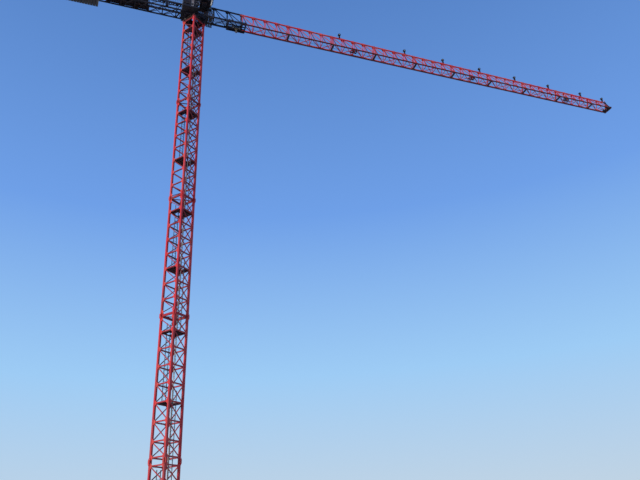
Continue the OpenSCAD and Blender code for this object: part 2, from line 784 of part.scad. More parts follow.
module counter_jib() {
    half = counter_gauge / 2;
    r = counter_chord / 2;
    thin = lacing - 8;
    bars = [for (x = counter_xs) if (-x < slab_in - joint_bar) x];
    color(navy) translate([0, 0, counter_z]) {
        both_sides() {
            for (z = [0, counter_depth]) block([-counter_l, half - r, z - r], [-head_x, half + r, z + r]);
            for (x = counter_xs)
                block([x - lacing / 2, half - lacing / 2, 0], [x + lacing / 2, half + lacing / 2, counter_depth]);
            for (i = [0:len(counter_xs) - 2])
                bar([counter_xs[i] - lacing, half, counter_depth], [counter_xs[i + 1] + lacing, half, 0], thin);
        }
        for (x = bars) block([x - joint_bar / 2, -half, -joint_bar / 2], [x + joint_bar / 2, half, joint_bar / 2]);
        for (z = [0, counter_depth]) block([-counter_l, -half, z - r], [-counter_l + 2 * r, half, z + r]);
        for (i = [0:len(bars) - 2]) {
            bar([bars[i], -half, 0], [bars[i + 1], half, 0], lacing);
            bar([bars[i], half, 0], [bars[i + 1], -half, 0], thin);
        }
    }
}

// The machinery floor and the slatted way to it
module counter_jib_floor() {
    half = counter_gauge / 2 + counter_chord / 2;
    z = counter_floor_z + floor_t;
    color(navy) {
        block([-slab_in + 60, -half, counter_floor_z], [-floor_out, half, z]);
        slatted_floor(-floor_out, -head_x, -half, -half / 3, z, 120);
        block([-floor_out - 1, half - slat_w, counter_floor_z], [-head_x, half, z]);
    }
}

module counter_jib_rails() {
    half = counter_gauge / 2;
    z = counter_floor_z + floor_t;
    posts = 7;
    first = head_x + 40;
    step = (slab_in - first - 80) / (posts - 1);
    color(grey) both_sides() {
        for (h = [rail_h / 2, rail_h])
            rod([-first - step * (posts - 1) - rail_d, half, z + h], [-first + rail_d, half, z + h], rail_d);
        for (i = [0:posts - 1]) rod([-first - i * step, half, z], [-first - i * step, half, z + rail_h], rail_d - 2);
    }
}

winch_x = -(floor_out + slab_in) / 2;

// The hoist winch: a flanged drum between two bearing blocks, with its gearbox, motor and brake
module hoist_winch() {
    drum_r = 130;
    flange_r = 170;
    drum_l = 300;
    axle_z = 230;
    base_t = 50;
    color(grey) translate([winch_x, 0, counter_floor_z + floor_t]) {
        block([-360, -250, 0], [360, 250, base_t]);
        for (y = [-drum_l / 2 - 50, drum_l / 2 + 20]) block([-70, y, base_t - 1], [70, y + 30, axle_z + 40]);
        translate([0, -drum_l / 2 - 21, axle_z]) rotate([-90, 0, 0]) {
            cylinder(r = 30, h = drum_l + 42);
            translate([0, 0, 21]) cylinder(r = drum_r, h = drum_l);
            for (z = [9, drum_l + 21]) translate([0, 0, z]) cylinder(r = flange_r, h = 12);
        }
        block([160, -230, base_t - 1], [320, -60, base_t + 190]);
        translate([240, -61, base_t + 110]) rotate([-90, 0, 0]) {
            cylinder(r = 30, h = 60);
            translate([0, 0, 40]) cylinder(r = 75, h = 210);
        }
        block([200, 40, base_t - 1], [280, 140, base_t + 60]);
    }
}

// The electric house in the head, two cabinets on the walkway and a box at the counter-jib's side
module switch_cabinet() {
    side = counter_gauge / 2 + counter_chord / 2;
    house_x = head_x - column - seat;
    house_y = head_y - column + 18;
    color("gainsboro") {
        block([-house_x, -house_y, cab_z + seat], [box_end_x, house_y, head_top - column - seat]);
        block([-head_x, -head_y - walk_w + 20, deck_z], [-head_x * 0.46, -head_y - 100, deck_z + 760]);
        block([-head_x * 0.42, -head_y - walk_w + 20, deck_z], [-head_x * 0.2, -head_y - 180, deck_z + 700]);
        block([-counter_first - 610, -side - 90, counter_z], [-counter_first - 460, -side, counter_z + counter_depth]);
    }
}

// T-shaped slabs that hang between the girders, with their shoulders on the upper chords
module counterweights() {
    half = counter_gauge / 2 - counter_chord / 2 - slab_gap;
    reach = counter_gauge / 2 + counter_chord / 2;
    color("tan") for (i = [0:slabs - 1]) translate([-slab_x0 + i * slab_step, 0, 0]) {
        block([0, -half, jib_z - slab_drop], [slab_t, half, counter_floor_z + shoulder_h]);
        block([0, -reach, counter_floor_z], [slab_t, reach, counter_floor_z + shoulder_h]);
    }
}

// Trolley and hook

wheel_y = jib_gauge / 2 + chord / 2 + wheel_gap + wheel_w / 2;
wheel_z = jib_z - chord / 2 + ledge_t + run_gap + wheel_d / 2;
cheek_y = jib_gauge / 2 + chord / 2 + ledge_w + wheel_gap;
trolley_z = jib_z - chord / 2 - trolley_gap;
trolley_end = trolley_x - trolley_l / 2;
sheave_z = trolley_z - trolley_h / 2 - sheave_d / 4;
fall_x = hook_sheave_d / 2 + run_gap;
sheave_x = fall_x + run_gap + sheave_d / 2;
block_z = sheave_z - hook_gap;
block_foot = hook_sheave_d / 2 + 30;
hook_z = block_z - block_foot - shank_l - hook_r;

module trolley_frame() {
    low = trolley_z - trolley_h;
    end = trolley_end + trolley_l;
    color(navy) {
        both_sides() {
            block([trolley_end, cheek_y, low], [end, cheek_y + plate_t, wheel_z - wheel_d / 4]);
            for (x = wheel_xs)
                block([x - wheel_d / 2, cheek_y, low], [x + wheel_d / 2, cheek_y + plate_t, wheel_z + wheel_d / 4]);
            block([trolley_end, frame_y, low], [end, frame_y + plate_t, trolley_z]);
            block([trolley_x - sheave_x - sheave_d / 3, frame_y, sheave_z - sheave_d / 4],
                  [trolley_x + sheave_x + sheave_d / 3, frame_y + plate_t, trolley_z]);
        }
        for (x = [trolley_end, end - trolley_h])
            block([x, -cheek_y, low], [x + trolley_h, cheek_y, trolley_z]);
    }
}

wheel_xs = [for (side = [-1, 1]) for (back = [1, 2.6]) trolley_x + side * (trolley_l / 2 - back * wheel_d)];

module trolley_wheels() {
    color(grey) both_sides() for (x = wheel_xs)
        translate([x, wheel_y - wheel_w / 2, wheel_z]) rotate([-90, 0, 0]) {
            cylinder(d = wheel_d, h = wheel_w);
            cylinder(d = wheel_d / 3, h = cheek_y - wheel_y + wheel_w / 2);
        }
}

// A grooved sheave with its axle, across the jib
module sheave(d, axle_d, axle_l) {
    r = d / 2;
    w = sheave_w / 2;
    foot = r - rope_d / 2;
    groove = rope_d * 0.55;
    rotate([90, 0, 0]) {
        rotate_extrude() polygon([[0, -w], [r, -w], [r, -groove - 2], [foot, -groove], [foot, groove],
                                  [r, groove + 2], [r, w], [0, w]]);
        cylinder(d = axle_d, h = axle_l, center = true);
    }
}

module trolley_sheaves() {
    color(grey) for (x = [-sheave_x, sheave_x])
        translate([trolley_x + x, 0, sheave_z]) sheave(sheave_d, sheave_d / 5, 2 * frame_y);
}

module hook_block() {
    r = hook_sheave_d / 2;
    color("goldenrod") translate([trolley_x, 0, block_z]) {
        both_sides() translate([0, block_y + plate_t, 0])
            plate_xz([[-r, -r * 0.3], [-r * 0.5, -block_foot], [r * 0.5, -block_foot], [r, -r * 0.3],
                      [r, r * 0.3], [r * 0.6, r * 0.7], [-r * 0.6, r * 0.7], [-r, r * 0.3]], plate_t);
        sheave(hook_sheave_d, hook_sheave_d / 5, 2 * block_y + 1);
        block([-r * 0.4, -block_y - 1, -block_foot], [r * 0.4, block_y + 1, -block_foot + 25]);
    }
}

// The hook with its shank, in the middle plane of the jib
module hook() {
    sweep = 255;
    color(grey) translate([trolley_x, 0, hook_z]) {
        translate([0, 0, hook_r]) cylinder(d = hook_t, h = shank_l);
        rotate([90, 0, 0]) {
            rotate(90) rotate_extrude(angle = -sweep) translate([hook_r, 0]) circle(d = hook_t);
            rotate(90 - sweep) translate([hook_r, 3, 0]) rotate([90, 0, 0])
                cylinder(d1 = hook_t - 1, d2 = hook_t / 2, h = hook_tip);
        }
    }
}

module rope_falls() {
    color([0.2, 0.2, 0.2]) for (x = [-fall_x, fall_x])
        translate([trolley_x + x, 0, block_z]) cylinder(d = rope_d, h = sheave_z - block_z);
}

base_frame();
for (i = [1:MAST_SECTIONS]) mast_sides(i);
for (i = [1:MAST_SECTIONS]) mast_bracing(i);
mast_platforms();
mast_ladders();
ring_support();
slewing_gear();
slewing_race();
turntable();
head_frame();
head_walkways();
slewing_drives();
cab_shell();
cab_glass();
jib_root();
for (i = [1:jib_sections]) jib_section_of(i);
jib_end();
jib_lamps();
rope_rollers();
counter_jib();
counter_jib_floor();
counter_jib_rails();
hoist_winch();
switch_cabinet();
counterweights();
trolley_frame();
trolley_wheels();
trolley_sheaves();
hook_block();
hook();
rope_falls();
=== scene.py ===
"""Looks of a flat-top tower crane: camera, light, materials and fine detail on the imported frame."""
import math

import bmesh
import bpy
from mathutils import Matrix, Vector


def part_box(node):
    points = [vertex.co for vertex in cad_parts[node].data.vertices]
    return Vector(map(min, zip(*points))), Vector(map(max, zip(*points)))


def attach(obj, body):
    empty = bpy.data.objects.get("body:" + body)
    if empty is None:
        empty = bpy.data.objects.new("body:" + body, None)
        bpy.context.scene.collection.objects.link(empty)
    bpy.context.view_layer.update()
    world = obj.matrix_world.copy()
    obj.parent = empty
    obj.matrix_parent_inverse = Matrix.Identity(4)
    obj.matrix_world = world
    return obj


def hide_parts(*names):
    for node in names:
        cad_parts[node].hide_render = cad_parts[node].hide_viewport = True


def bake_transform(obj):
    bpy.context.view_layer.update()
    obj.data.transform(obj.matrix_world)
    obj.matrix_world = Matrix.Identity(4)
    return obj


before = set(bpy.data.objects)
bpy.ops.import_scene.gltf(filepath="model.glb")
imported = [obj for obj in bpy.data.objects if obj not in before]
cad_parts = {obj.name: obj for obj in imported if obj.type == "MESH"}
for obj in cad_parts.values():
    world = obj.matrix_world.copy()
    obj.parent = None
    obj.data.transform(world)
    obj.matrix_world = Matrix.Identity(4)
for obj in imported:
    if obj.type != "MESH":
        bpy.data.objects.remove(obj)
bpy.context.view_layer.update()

scene = bpy.context.scene

# Driving sizes of the part, in metres
MAST_TURN = math.radians(39)
HALF_W = 0.375            # mast axis to the middle of a leg
LEG = 0.084
RING_T = 0.05             # width of the mast's level bars
BAY_H = 0.725
BAYS = 8
JOINT_GAP = 0.147         # end of a mast section to its last level bar
LUG_T = 0.046
LADDER_Y = 0.29
CHORD = 0.064
TOP_OF_CHORD = 0.032      # middle to top of the jib's upper chord
HALF_GAUGE = 0.255        # jib axis to the middle of a lower chord
ROOT_FRAMES = (0.7, 1.074, 1.851)
SECTIONS = 9
PANELS = 4
JIB_DEPTH, JIB_DEPTH_END = 0.967, 0.667
END_L = 1.64
HEAD_X, HEAD_Y = 0.7, 0.38
COLUMN = 0.09
HALF_COUNTER = 0.306
PLATE_T = 0.008           # bolted plates and edge strips
ROPE_R = 0.006

MAST = Matrix.Rotation(MAST_TURN, 4, "Z")
UP, DOWN = Vector((0, 0, 1)), Vector((0, 0, -1))
SIDES = (-1, 1)


def low(node):
    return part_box(node)[0]


def high(node):
    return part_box(node)[1]


JOINTS_Z = [low(f"mast_{i}_sides").z for i in range(1, 6)] + [high("mast_5_sides").z]
DECK_Z = high("turntable").z
JIB_Z = low("jib_section_1").z + CHORD / 2
JIB_END_X = low("jib_end").x
JIB_FIRST = low("jib_section_1").x
SECTION_L = (JIB_END_X - JIB_FIRST) / SECTIONS
TIP_X = high("jib_end").x
ANCHOR_X = JIB_END_X + END_L - 0.03

# Camera: the photograph's place, direction and angle of view
CAMERA_PLACE = (-2.2971, -23.9227, 2.9983)
CAMERA_YAW, CAMERA_PITCH, CAMERA_ROLL = (math.radians(a) for a in (20.791, 27.534, -3.4225))
FOCAL_PIXELS = 582.0
IMAGE_WIDTH = 640
SENSOR = 36


def add_camera():
    ahead = Vector((math.cos(CAMERA_PITCH) * math.sin(CAMERA_YAW),
                    math.cos(CAMERA_PITCH) * math.cos(CAMERA_YAW), math.sin(CAMERA_PITCH)))
    right = Vector((math.cos(CAMERA_YAW), -math.sin(CAMERA_YAW), 0))
    up = right.cross(ahead)
    c, s = math.cos(CAMERA_ROLL), math.sin(CAMERA_ROLL)
    rolled = Matrix((c * right + s * up, c * up - s * right, -ahead)).transposed().to_4x4()
    rolled.translation = CAMERA_PLACE
    camera = bpy.data.objects.new("camera", bpy.data.cameras.new("camera"))
    scene.collection.objects.link(camera)
    camera.matrix_world = rolled
    camera.data.sensor_width = SENSOR
    camera.data.lens = SENSOR * FOCAL_PIXELS / IMAGE_WIDTH
    scene.camera = camera


add_camera()


# Materials

class Tree:
    """A material's node tree, with short ways to add what the finishes here need."""

    def __init__(self, name):
        self.material = bpy.data.materials.new(name)
        self.material.use_nodes = True
        self.nodes = self.material.node_tree.nodes
        self.links = self.material.node_tree.links
        self.shader = self.nodes["Principled BSDF"]

    def put(self, target, value):
        if isinstance(value, bpy.types.NodeSocket):
            self.links.new(value, target)
        elif isinstance(value, tuple) and len(value) == 3 and target.type == "RGBA":
            target.default_value = (*value, 1)
        else:
            target.default_value = value

    def add(self, kind, output=0, inputs=(), **settings):
        node = self.nodes.new("ShaderNode" + kind)
        for name, value in settings.items():
            setattr(node, name, value)
        for key, value in dict(inputs).items():
            self.put(node.inputs[key], value)
        return node.outputs[output]

    def split(self, vector):
        node = self.nodes.new("ShaderNodeSeparateXYZ")
        self.put(node.inputs[0], vector)
        return node.outputs

    def place(self, scale=(1, 1, 1), turn=0.0):
        where = self.add("TexCoord", "Object")
        return self.add("Mapping", inputs={"Vector": where, "Rotation": (0, 0, turn), "Scale": scale})

    def noise(self, where, scale, detail=4.0, rough=0.55):
        return self.add("TexNoise", "Fac", {"Vector": where, "Scale": scale, "Detail": detail, "Roughness": rough})

    def ramp(self, value, a, b, c=0.0, d=1.0):
        return self.add("MapRange", 0, {"Value": value, "From Min": a, "From Max": b, "To Min": c, "To Max": d})

    def math(self, operation, a, b=0.0):
        return self.add("Math", 0, {0: a, 1: b}, operation=operation)

    def mix(self, factor, a, b):
        return self.add("Mix", 2, {0: factor, 6: a, 7: b}, data_type="RGBA")

    def edges(self, radius):
        """1 near the piece's sharp edges, 0 on its flat faces."""
        rounded = self.add("Bevel", 0, {"Radius": radius}, samples=4)
        flat = self.add("NewGeometry", "Normal")
        same = self.add("VectorMath", 1, {0: rounded, 1: flat}, operation="DOT_PRODUCT")
        return self.ramp(same, 0.995, 0.85)

    def bump(self, height, strength, distance):
        normal = self.add("Bump", 0, {"Height": height, "Strength": strength, "Distance": distance})
        self.put(self.shader.inputs["Normal"], normal)

    def set(self, **values):
        for name, value in values.items():
            self.put(self.shader.inputs[name.replace("_", " ")], value)


RUST = (0.16, 0.055, 0.022)
RUST_PALE = (0.30, 0.13, 0.05)
DIRT = (0.055, 0.045, 0.038)


def scaled(colour, factor):
    return tuple(min(1, factor * c) for c in colour)


def painted(name, colour, faded, grime=0.5, rust=0.5, rough=0.42, tint=None, shine=0.4):
    """Weathered paint on steel: sun-faded patches, dirt streaks, rust spots and edges worn bare."""
    t = Tree(name)
    where = t.place()
    broad = t.noise(where, 0.8, 4)
    fine = t.noise(where, 34, 6, 0.6)
    spots = t.noise(where, 7, 9, 0.68)
    streaks = t.noise(t.place((11, 11, 0.6)), 1, 5)
    base = t.mix(t.ramp(broad, 0.42, 0.58), colour, faded)
    base = t.mix(t.ramp(fine, 0.4, 0.8, 0, 0.35), base, scaled(colour, 0.55))
    if tint:
        base = tint(t, base)
    base = t.mix(t.ramp(streaks, 0.48, 0.66, 0, grime), base, DIRT)
    chips = t.math("MULTIPLY", t.edges(0.006), t.ramp(spots, 0.46, 0.52))
    patches = t.ramp(spots, 0.61, 0.65, 0, rust)
    worn = t.math("MAXIMUM", t.math("MULTIPLY", chips, rust), patches)
    base = t.mix(worn, base, t.mix(t.ramp(fine, 0.4, 0.6), RUST, RUST_PALE))
    t.set(Base_Color=base, Specular_IOR_Level=shine,
          Roughness=t.ramp(t.math("ADD", fine, worn), 0.2, 1.4, rough - 0.1, rough + 0.35))
    relief = t.math("ADD", t.math("MULTIPLY", fine, 0.25), t.math("MULTIPLY", worn, -0.8))
    t.bump(relief, 0.5, 0.0012)
    return t.material


def bars_painted_shade(t, base):
    """Painted shade: the mast's slanting and level bars are painted darker than its legs, and most so near the top."""
    place = t.split(t.place(turn=-MAST_TURN))
    reach = HALF_W - LEG / 2 - 0.006
    on_leg = t.math("MINIMUM", *(t.math("GREATER_THAN", t.math("ABSOLUTE", place[k]), reach) for k in (0, 1)))
    # Painted shade: in the top 85 mm the leg tops are painted dark as well.
    top_bar = t.math("GREATER_THAN", place[2], JOINTS_Z[-1] - 0.085)
    on_leg = t.math("MULTIPLY", on_leg, t.math("SUBTRACT", 1, top_bar))
    amount = t.math("SUBTRACT", t.ramp(place[2], 8, 22, 0.2, 0.64), t.math("MULTIPLY", top_bar, 0.14))
    return t.mix(on_leg, t.mix(amount, base, (0.022, 0.010, 0.020)), base)


def pale_cabinet(t, base):
    """The narrow cabinet on the walkway is pale grey."""
    x, y, z = t.split(t.place())
    along = t.math("LESS_THAN", t.math("ABSOLUTE", t.math("ADD", x, 0.217)), 0.085)
    outside = t.math("LESS_THAN", y, -0.5)
    return t.mix(t.math("MULTIPLY", along, outside), base, (0.16, 0.16, 0.18))


def jib_painted_shade(t, base):
    """Painted shade, near black, on the jib's downward faces; the bars across its joints and its end frame are painted
    the same near black.
    """
    x, y, z = t.split(t.place())
    way = t.math("FRACT", t.math("ADD", t.math("DIVIDE", x, SECTION_L), 0.5 - JIB_FIRST / SECTION_L))
    near_joint = t.math("LESS_THAN", t.math("ABSOLUTE", t.math("SUBTRACT", way, 0.5)), 0.058 / SECTION_L)
    inside = t.math("LESS_THAN", t.math("ABSOLUTE", y), HALF_GAUGE - CHORD / 2 - 0.001)
    in_plane = t.math("LESS_THAN", z, JIB_Z + 0.03)
    bar = t.math("MULTIPLY", near_joint, t.math("MULTIPLY", inside, in_plane))
    end = t.math("GREATER_THAN", x, TIP_X - 0.4)
    # Painted shade on downward faces outside the gap between the lower chords.
    facing = t.ramp(t.split(t.add("NewGeometry", "Normal"))[2], -0.25, -0.75, 0, 0.85)
    under = t.math("MULTIPLY", facing, t.math("SUBTRACT", 1, inside))
    mask = t.math("MAXIMUM", t.math("MULTIPLY", t.math("MAXIMUM", bar, end), 0.93), under)
    return t.mix(mask, base, (0.013, 0.011, 0.020))


def metal(name, colour, pale, rough=0.45, scratch=1.0, spangle=0.0):
    """Bare or galvanised steel, with streaks of wear, stains and a crystal pattern where asked."""
    t = Tree(name)
    where = t.place()
    broad = t.noise(where, 3, 5)
    brushed = t.noise(t.place((60, 60, 6)), 1, 4)
    cells = t.add("TexVoronoi", "Color", {"Vector": where, "Scale": 55})
    grey = t.add("RGBToBW", 0, {0: cells})
    base = t.mix(t.ramp(broad, 0.35, 0.65), colour, pale)
    base = t.mix(t.ramp(grey, 0.2, 0.8, 0, spangle), base, scaled(pale, 1.5))
    stains = t.ramp(t.noise(where, 9, 8, 0.65), 0.58, 0.72, 0, 0.6)
    base = t.mix(stains, base, RUST)
    t.set(Base_Color=base, Metallic=0.85,
          Roughness=t.ramp(t.math("ADD", brushed, stains), 0.2, 1.3, rough - 0.12, rough + 0.3))
    t.bump(brushed, 0.25 * scratch, 0.0006)
    return t.material


def tread_plate(name, colour, pale):
    """Steel floor plate with raised lozenges, worn bright in patches."""
    t = Tree(name)
    across = t.split(t.place((150, 150, 150), math.radians(45)))
    raised = t.ramp(t.math("MULTIPLY", *(t.math("SINE", across[k]) for k in (0, 1))), 0.25, 0.6)
    wear = t.noise(t.place(), 2.5, 6, 0.6)
    fine = t.noise(t.place(), 45, 5)
    base = t.mix(t.ramp(wear, 0.4, 0.62), colour, pale)
    base = t.mix(t.ramp(t.noise(t.place(), 6, 8, 0.7), 0.6, 0.68, 0, 0.7), base, RUST)
    base = t.mix(t.math("MULTIPLY", raised, 0.3), base, scaled(pale, 1.8))
    t.set(Base_Color=base, Metallic=0.35, Roughness=t.ramp(fine, 0.3, 0.7, 0.4, 0.75))
    t.bump(t.math("ADD", raised, t.math("MULTIPLY", fine, 0.2)), 0.6, 0.003)
    return t.material


SLAB_STEP, SLAB_T = 0.136, 0.12


def cast_concrete(name, colour, pale, brown):
    """Cast slabs: each slab its own shade, with pores, stains that run down and a rough skin."""
    t = Tree(name)
    where = t.place()
    slab = t.math("FLOOR", t.math("DIVIDE", t.split(where)[0], SLAB_STEP))
    shade = t.add("TexWhiteNoise", "Value", {"W": slab}, noise_dimensions="1D")
    stain = t.noise(t.place((2.5, 2.5, 1.1)), 1, 7, 0.6)
    grit = t.noise(where, 90, 8, 0.7)
    pores = t.add("TexVoronoi", "Distance", {"Vector": where, "Scale": 70})
    base = t.mix(shade, colour, pale)
    base = t.mix(t.ramp(stain, 0.48, 0.7, 0, 0.65), base, brown)
    base = t.mix(t.ramp(t.noise(where, 14, 8, 0.65), 0.5, 0.62, 0, 0.35), base, scaled(pale, 1.35))
    base = t.mix(t.ramp(grit, 0.4, 0.7, 0, 0.5), base, scaled(colour, 0.45))
    t.set(Base_Color=base, Roughness=t.ramp(grit, 0.3, 0.7, 0.75, 0.95))
    t.bump(t.math("ADD", t.ramp(pores, 0.0, 0.25), grit), 0.5, 0.003)
    return t.material


def wire_rope(name):
    """Laid wire rope, dark with grease, bright on the crowns of its strands."""
    t = Tree(name)
    lay = t.add("TexWave", "Fac", {"Vector": t.place(), "Scale": 60, "Distortion": 0.4}, bands_direction="DIAGONAL")
    grease = t.noise(t.place(), 20, 6)
    base = t.mix(t.ramp(lay, 0.2, 0.9), (0.02, 0.019, 0.018), (0.13, 0.125, 0.12))
    base = t.mix(t.ramp(grease, 0.45, 0.7, 0, 0.7), base, (0.03, 0.022, 0.014))
    t.set(Base_Color=base, Metallic=0.6, Roughness=t.ramp(grease, 0.3, 0.7, 0.35, 0.6))
    t.bump(lay, 0.6, 0.002)
    return t.material


def window_glass(name):
    """Dark tinted glass with a film of dust."""
    t = Tree(name)
    haze = t.noise(t.place((3, 3, 0.8)), 1, 4, 0.5)
    dust = t.ramp(haze, 0.45, 0.7, 0, 0.35)
    t.set(Base_Color=t.mix(dust, (0.012, 0.020, 0.030), (0.060, 0.066, 0.075)),
          Roughness=t.ramp(haze, 0.35, 0.7, 0.08, 0.22), Transmission_Weight=0.35, IOR=1.25, Specular_IOR_Level=0.06)
    t.bump(t.noise(t.place(), 1.2, 1), 0.05, 0.002)
    return t.material


def rubber(name):
    t = Tree(name)
    fine = t.noise(t.place(), 60, 6)
    t.set(Base_Color=t.mix(t.ramp(fine, 0.3, 0.7), (0.014, 0.014, 0.015), (0.035, 0.034, 0.033)),
          Roughness=t.ramp(fine, 0.3, 0.7, 0.6, 0.85))
    t.bump(fine, 0.3, 0.001)
    return t.material


def studio_floor(name):
    t = Tree(name)
    soft = t.noise(t.place(), 0.35, 2)
    t.set(Base_Color=t.mix(soft, (0.57, 0.49, 0.40), (0.60, 0.52, 0.43)), Roughness=t.ramp(soft, 0, 1, 0.85, 0.95))
    return t.material


def lens(name, colour, clear):
    """Ribbed lamp glass; clear is how much light goes through."""
    t = Tree(name)
    ribs = t.add("TexWave", "Fac", {"Vector": t.place(), "Scale": 40}, bands_direction="Z")
    t.set(Base_Color=t.mix(t.ramp(ribs, 0.3, 0.7, 0, 0.4), colour, scaled(colour, 0.5)),
          Roughness=t.ramp(ribs, 0, 1, 0.08, 0.2), Transmission_Weight=clear)
    t.bump(ribs, 0.3, 0.001)
    return t.material


RED, RED_FADED = (0.54, 0.018, 0.028), (0.56, 0.050, 0.050)
NAVY, NAVY_FADED = (0.0065, 0.007, 0.014), (0.014, 0.015, 0.026)
# The mast's red paint carries painted shade on its bars through bars_painted_shade.
mast_red = painted("mast_red", RED, RED_FADED, 0.5, 0.6, tint=bars_painted_shade, shine=0.25)
# Near-black red on the ring support: its red paint darkened as painted shade for its shaded underside.
ring_support_painted_shade = painted("ring_support_painted_shade", (0.035, 0.010, 0.014), (0.05, 0.018, 0.020), 0.4, 0.4, shine=0.2)
# The jib's red paint carries painted shade on its undersides through jib_painted_shade.
jib_red = painted("jib_red", (0.54, 0.024, 0.028), (0.57, 0.07, 0.06), 0.5, 0.5, tint=jib_painted_shade, shine=0.25)
# Lighter red on gussets, foot stiffeners and jib plates: the red paint lifted as a painted highlight for sunlit
# plates.
red_painted_highlight = painted("red_painted_highlight", (0.62, 0.034, 0.028), (0.63, 0.07, 0.055), 0.25, 0.4, shine=0.3)
navy = painted("navy", NAVY, NAVY_FADED, 0.3, 0.35, 0.5, shine=0.18)
cabinet = painted("cabinet", NAVY, NAVY_FADED, 0.3, 0.3, 0.5, tint=pale_cabinet, shine=0.2)
# Yellow paint on the hook block made near black.
near_black_yellow = painted("near_black_yellow", (0.030, 0.026, 0.012), (0.048, 0.038, 0.018), 0.8, 0.3, 0.5)
pale = painted("pale_grey", (0.40, 0.41, 0.42), (0.50, 0.50, 0.49), 0.5, 0.35)
galvanised = metal("galvanised", (0.30, 0.31, 0.33), (0.44, 0.45, 0.46), 0.5, 0.6, 0.35)
dull_steel = metal("dull_steel", (0.12, 0.115, 0.12), (0.20, 0.19, 0.19), 0.5, 0.8, 0.1)
bare_steel = metal("bare_steel", (0.34, 0.34, 0.34), (0.50, 0.50, 0.49), 0.32)
forged = metal("forged", (0.07, 0.068, 0.066), (0.15, 0.14, 0.135), 0.5, 1.6)
greased_steel = metal("greased_steel", (0.035, 0.033, 0.033), (0.08, 0.075, 0.07), 0.42)
bolts = metal("bolts", (0.16, 0.155, 0.15), (0.30, 0.29, 0.27), 0.42)
tread = tread_plate("tread_plate", (0.075, 0.016, 0.024), (0.13, 0.040, 0.042))
deck = tread_plate("deck_plate", (0.010, 0.011, 0.018), (0.030, 0.030, 0.034))
# Ballast concrete darkened far below a pale cast colour: painted shade for the shaded slabs.
concrete = cast_concrete("concrete", (0.036, 0.036, 0.036), (0.072, 0.070, 0.067), (0.048, 0.037, 0.029))
rope = wire_rope("wire_rope")
glass = window_glass("glass")
black = rubber("rubber")
clear_lens = lens("lamp_lens", (0.75, 0.76, 0.72), 0.5)
red_lens = lens("red_lens", (0.70, 0.03, 0.02), 0.3)

FINISHES = {
    ring_support_painted_shade: ["ring_support"],
    mast_red: ["base_frame"] + [f"mast_{i}_{k}" for i in range(1, 6) for k in ("sides", "bracing")],
    jib_red: ["jib_end"] + [f"jib_section_{i}" for i in range(1, SECTIONS + 1)],
    navy: ["turntable", "head_frame", "jib_root", "counter_jib", "trolley_frame", "cab_shell", "jib_lamps",
           "rope_rollers"],
    cabinet: ["switch_cabinet"],
    deck: ["head_walkways", "counter_jib_floor"],
    tread: ["mast_platforms"],
    dull_steel: ["mast_ladders", "slewing_drives", "hoist_winch"],
    galvanised: ["counter_jib_rails"],
    bare_steel: ["trolley_wheels", "trolley_sheaves"],
    greased_steel: ["slewing_gear", "slewing_race"],
    near_black_yellow: ["hook_block"],
    forged: ["hook"],
    rope: ["rope_falls"],
    glass: ["cab_glass"],
    concrete: ["counterweights"],
}
for material, names in FINISHES.items():
    for name in names:
        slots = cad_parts[name].data.materials
        slots.clear()
        slots.append(material)


# Shapes in mesh code

def steps(a, b, n):
    return [a + (b - a) * i / n for i in range(n + 1)]


def spokes(n, level=True, start=0.0):
    """n unit vectors spread round a ring, level or in the upright plane along the jib."""
    for k in range(n):
        a = 2 * math.pi * k / n + math.radians(start)
        yield Vector((math.cos(a), math.sin(a), 0)) if level else Vector((math.cos(a), 0, math.sin(a)))


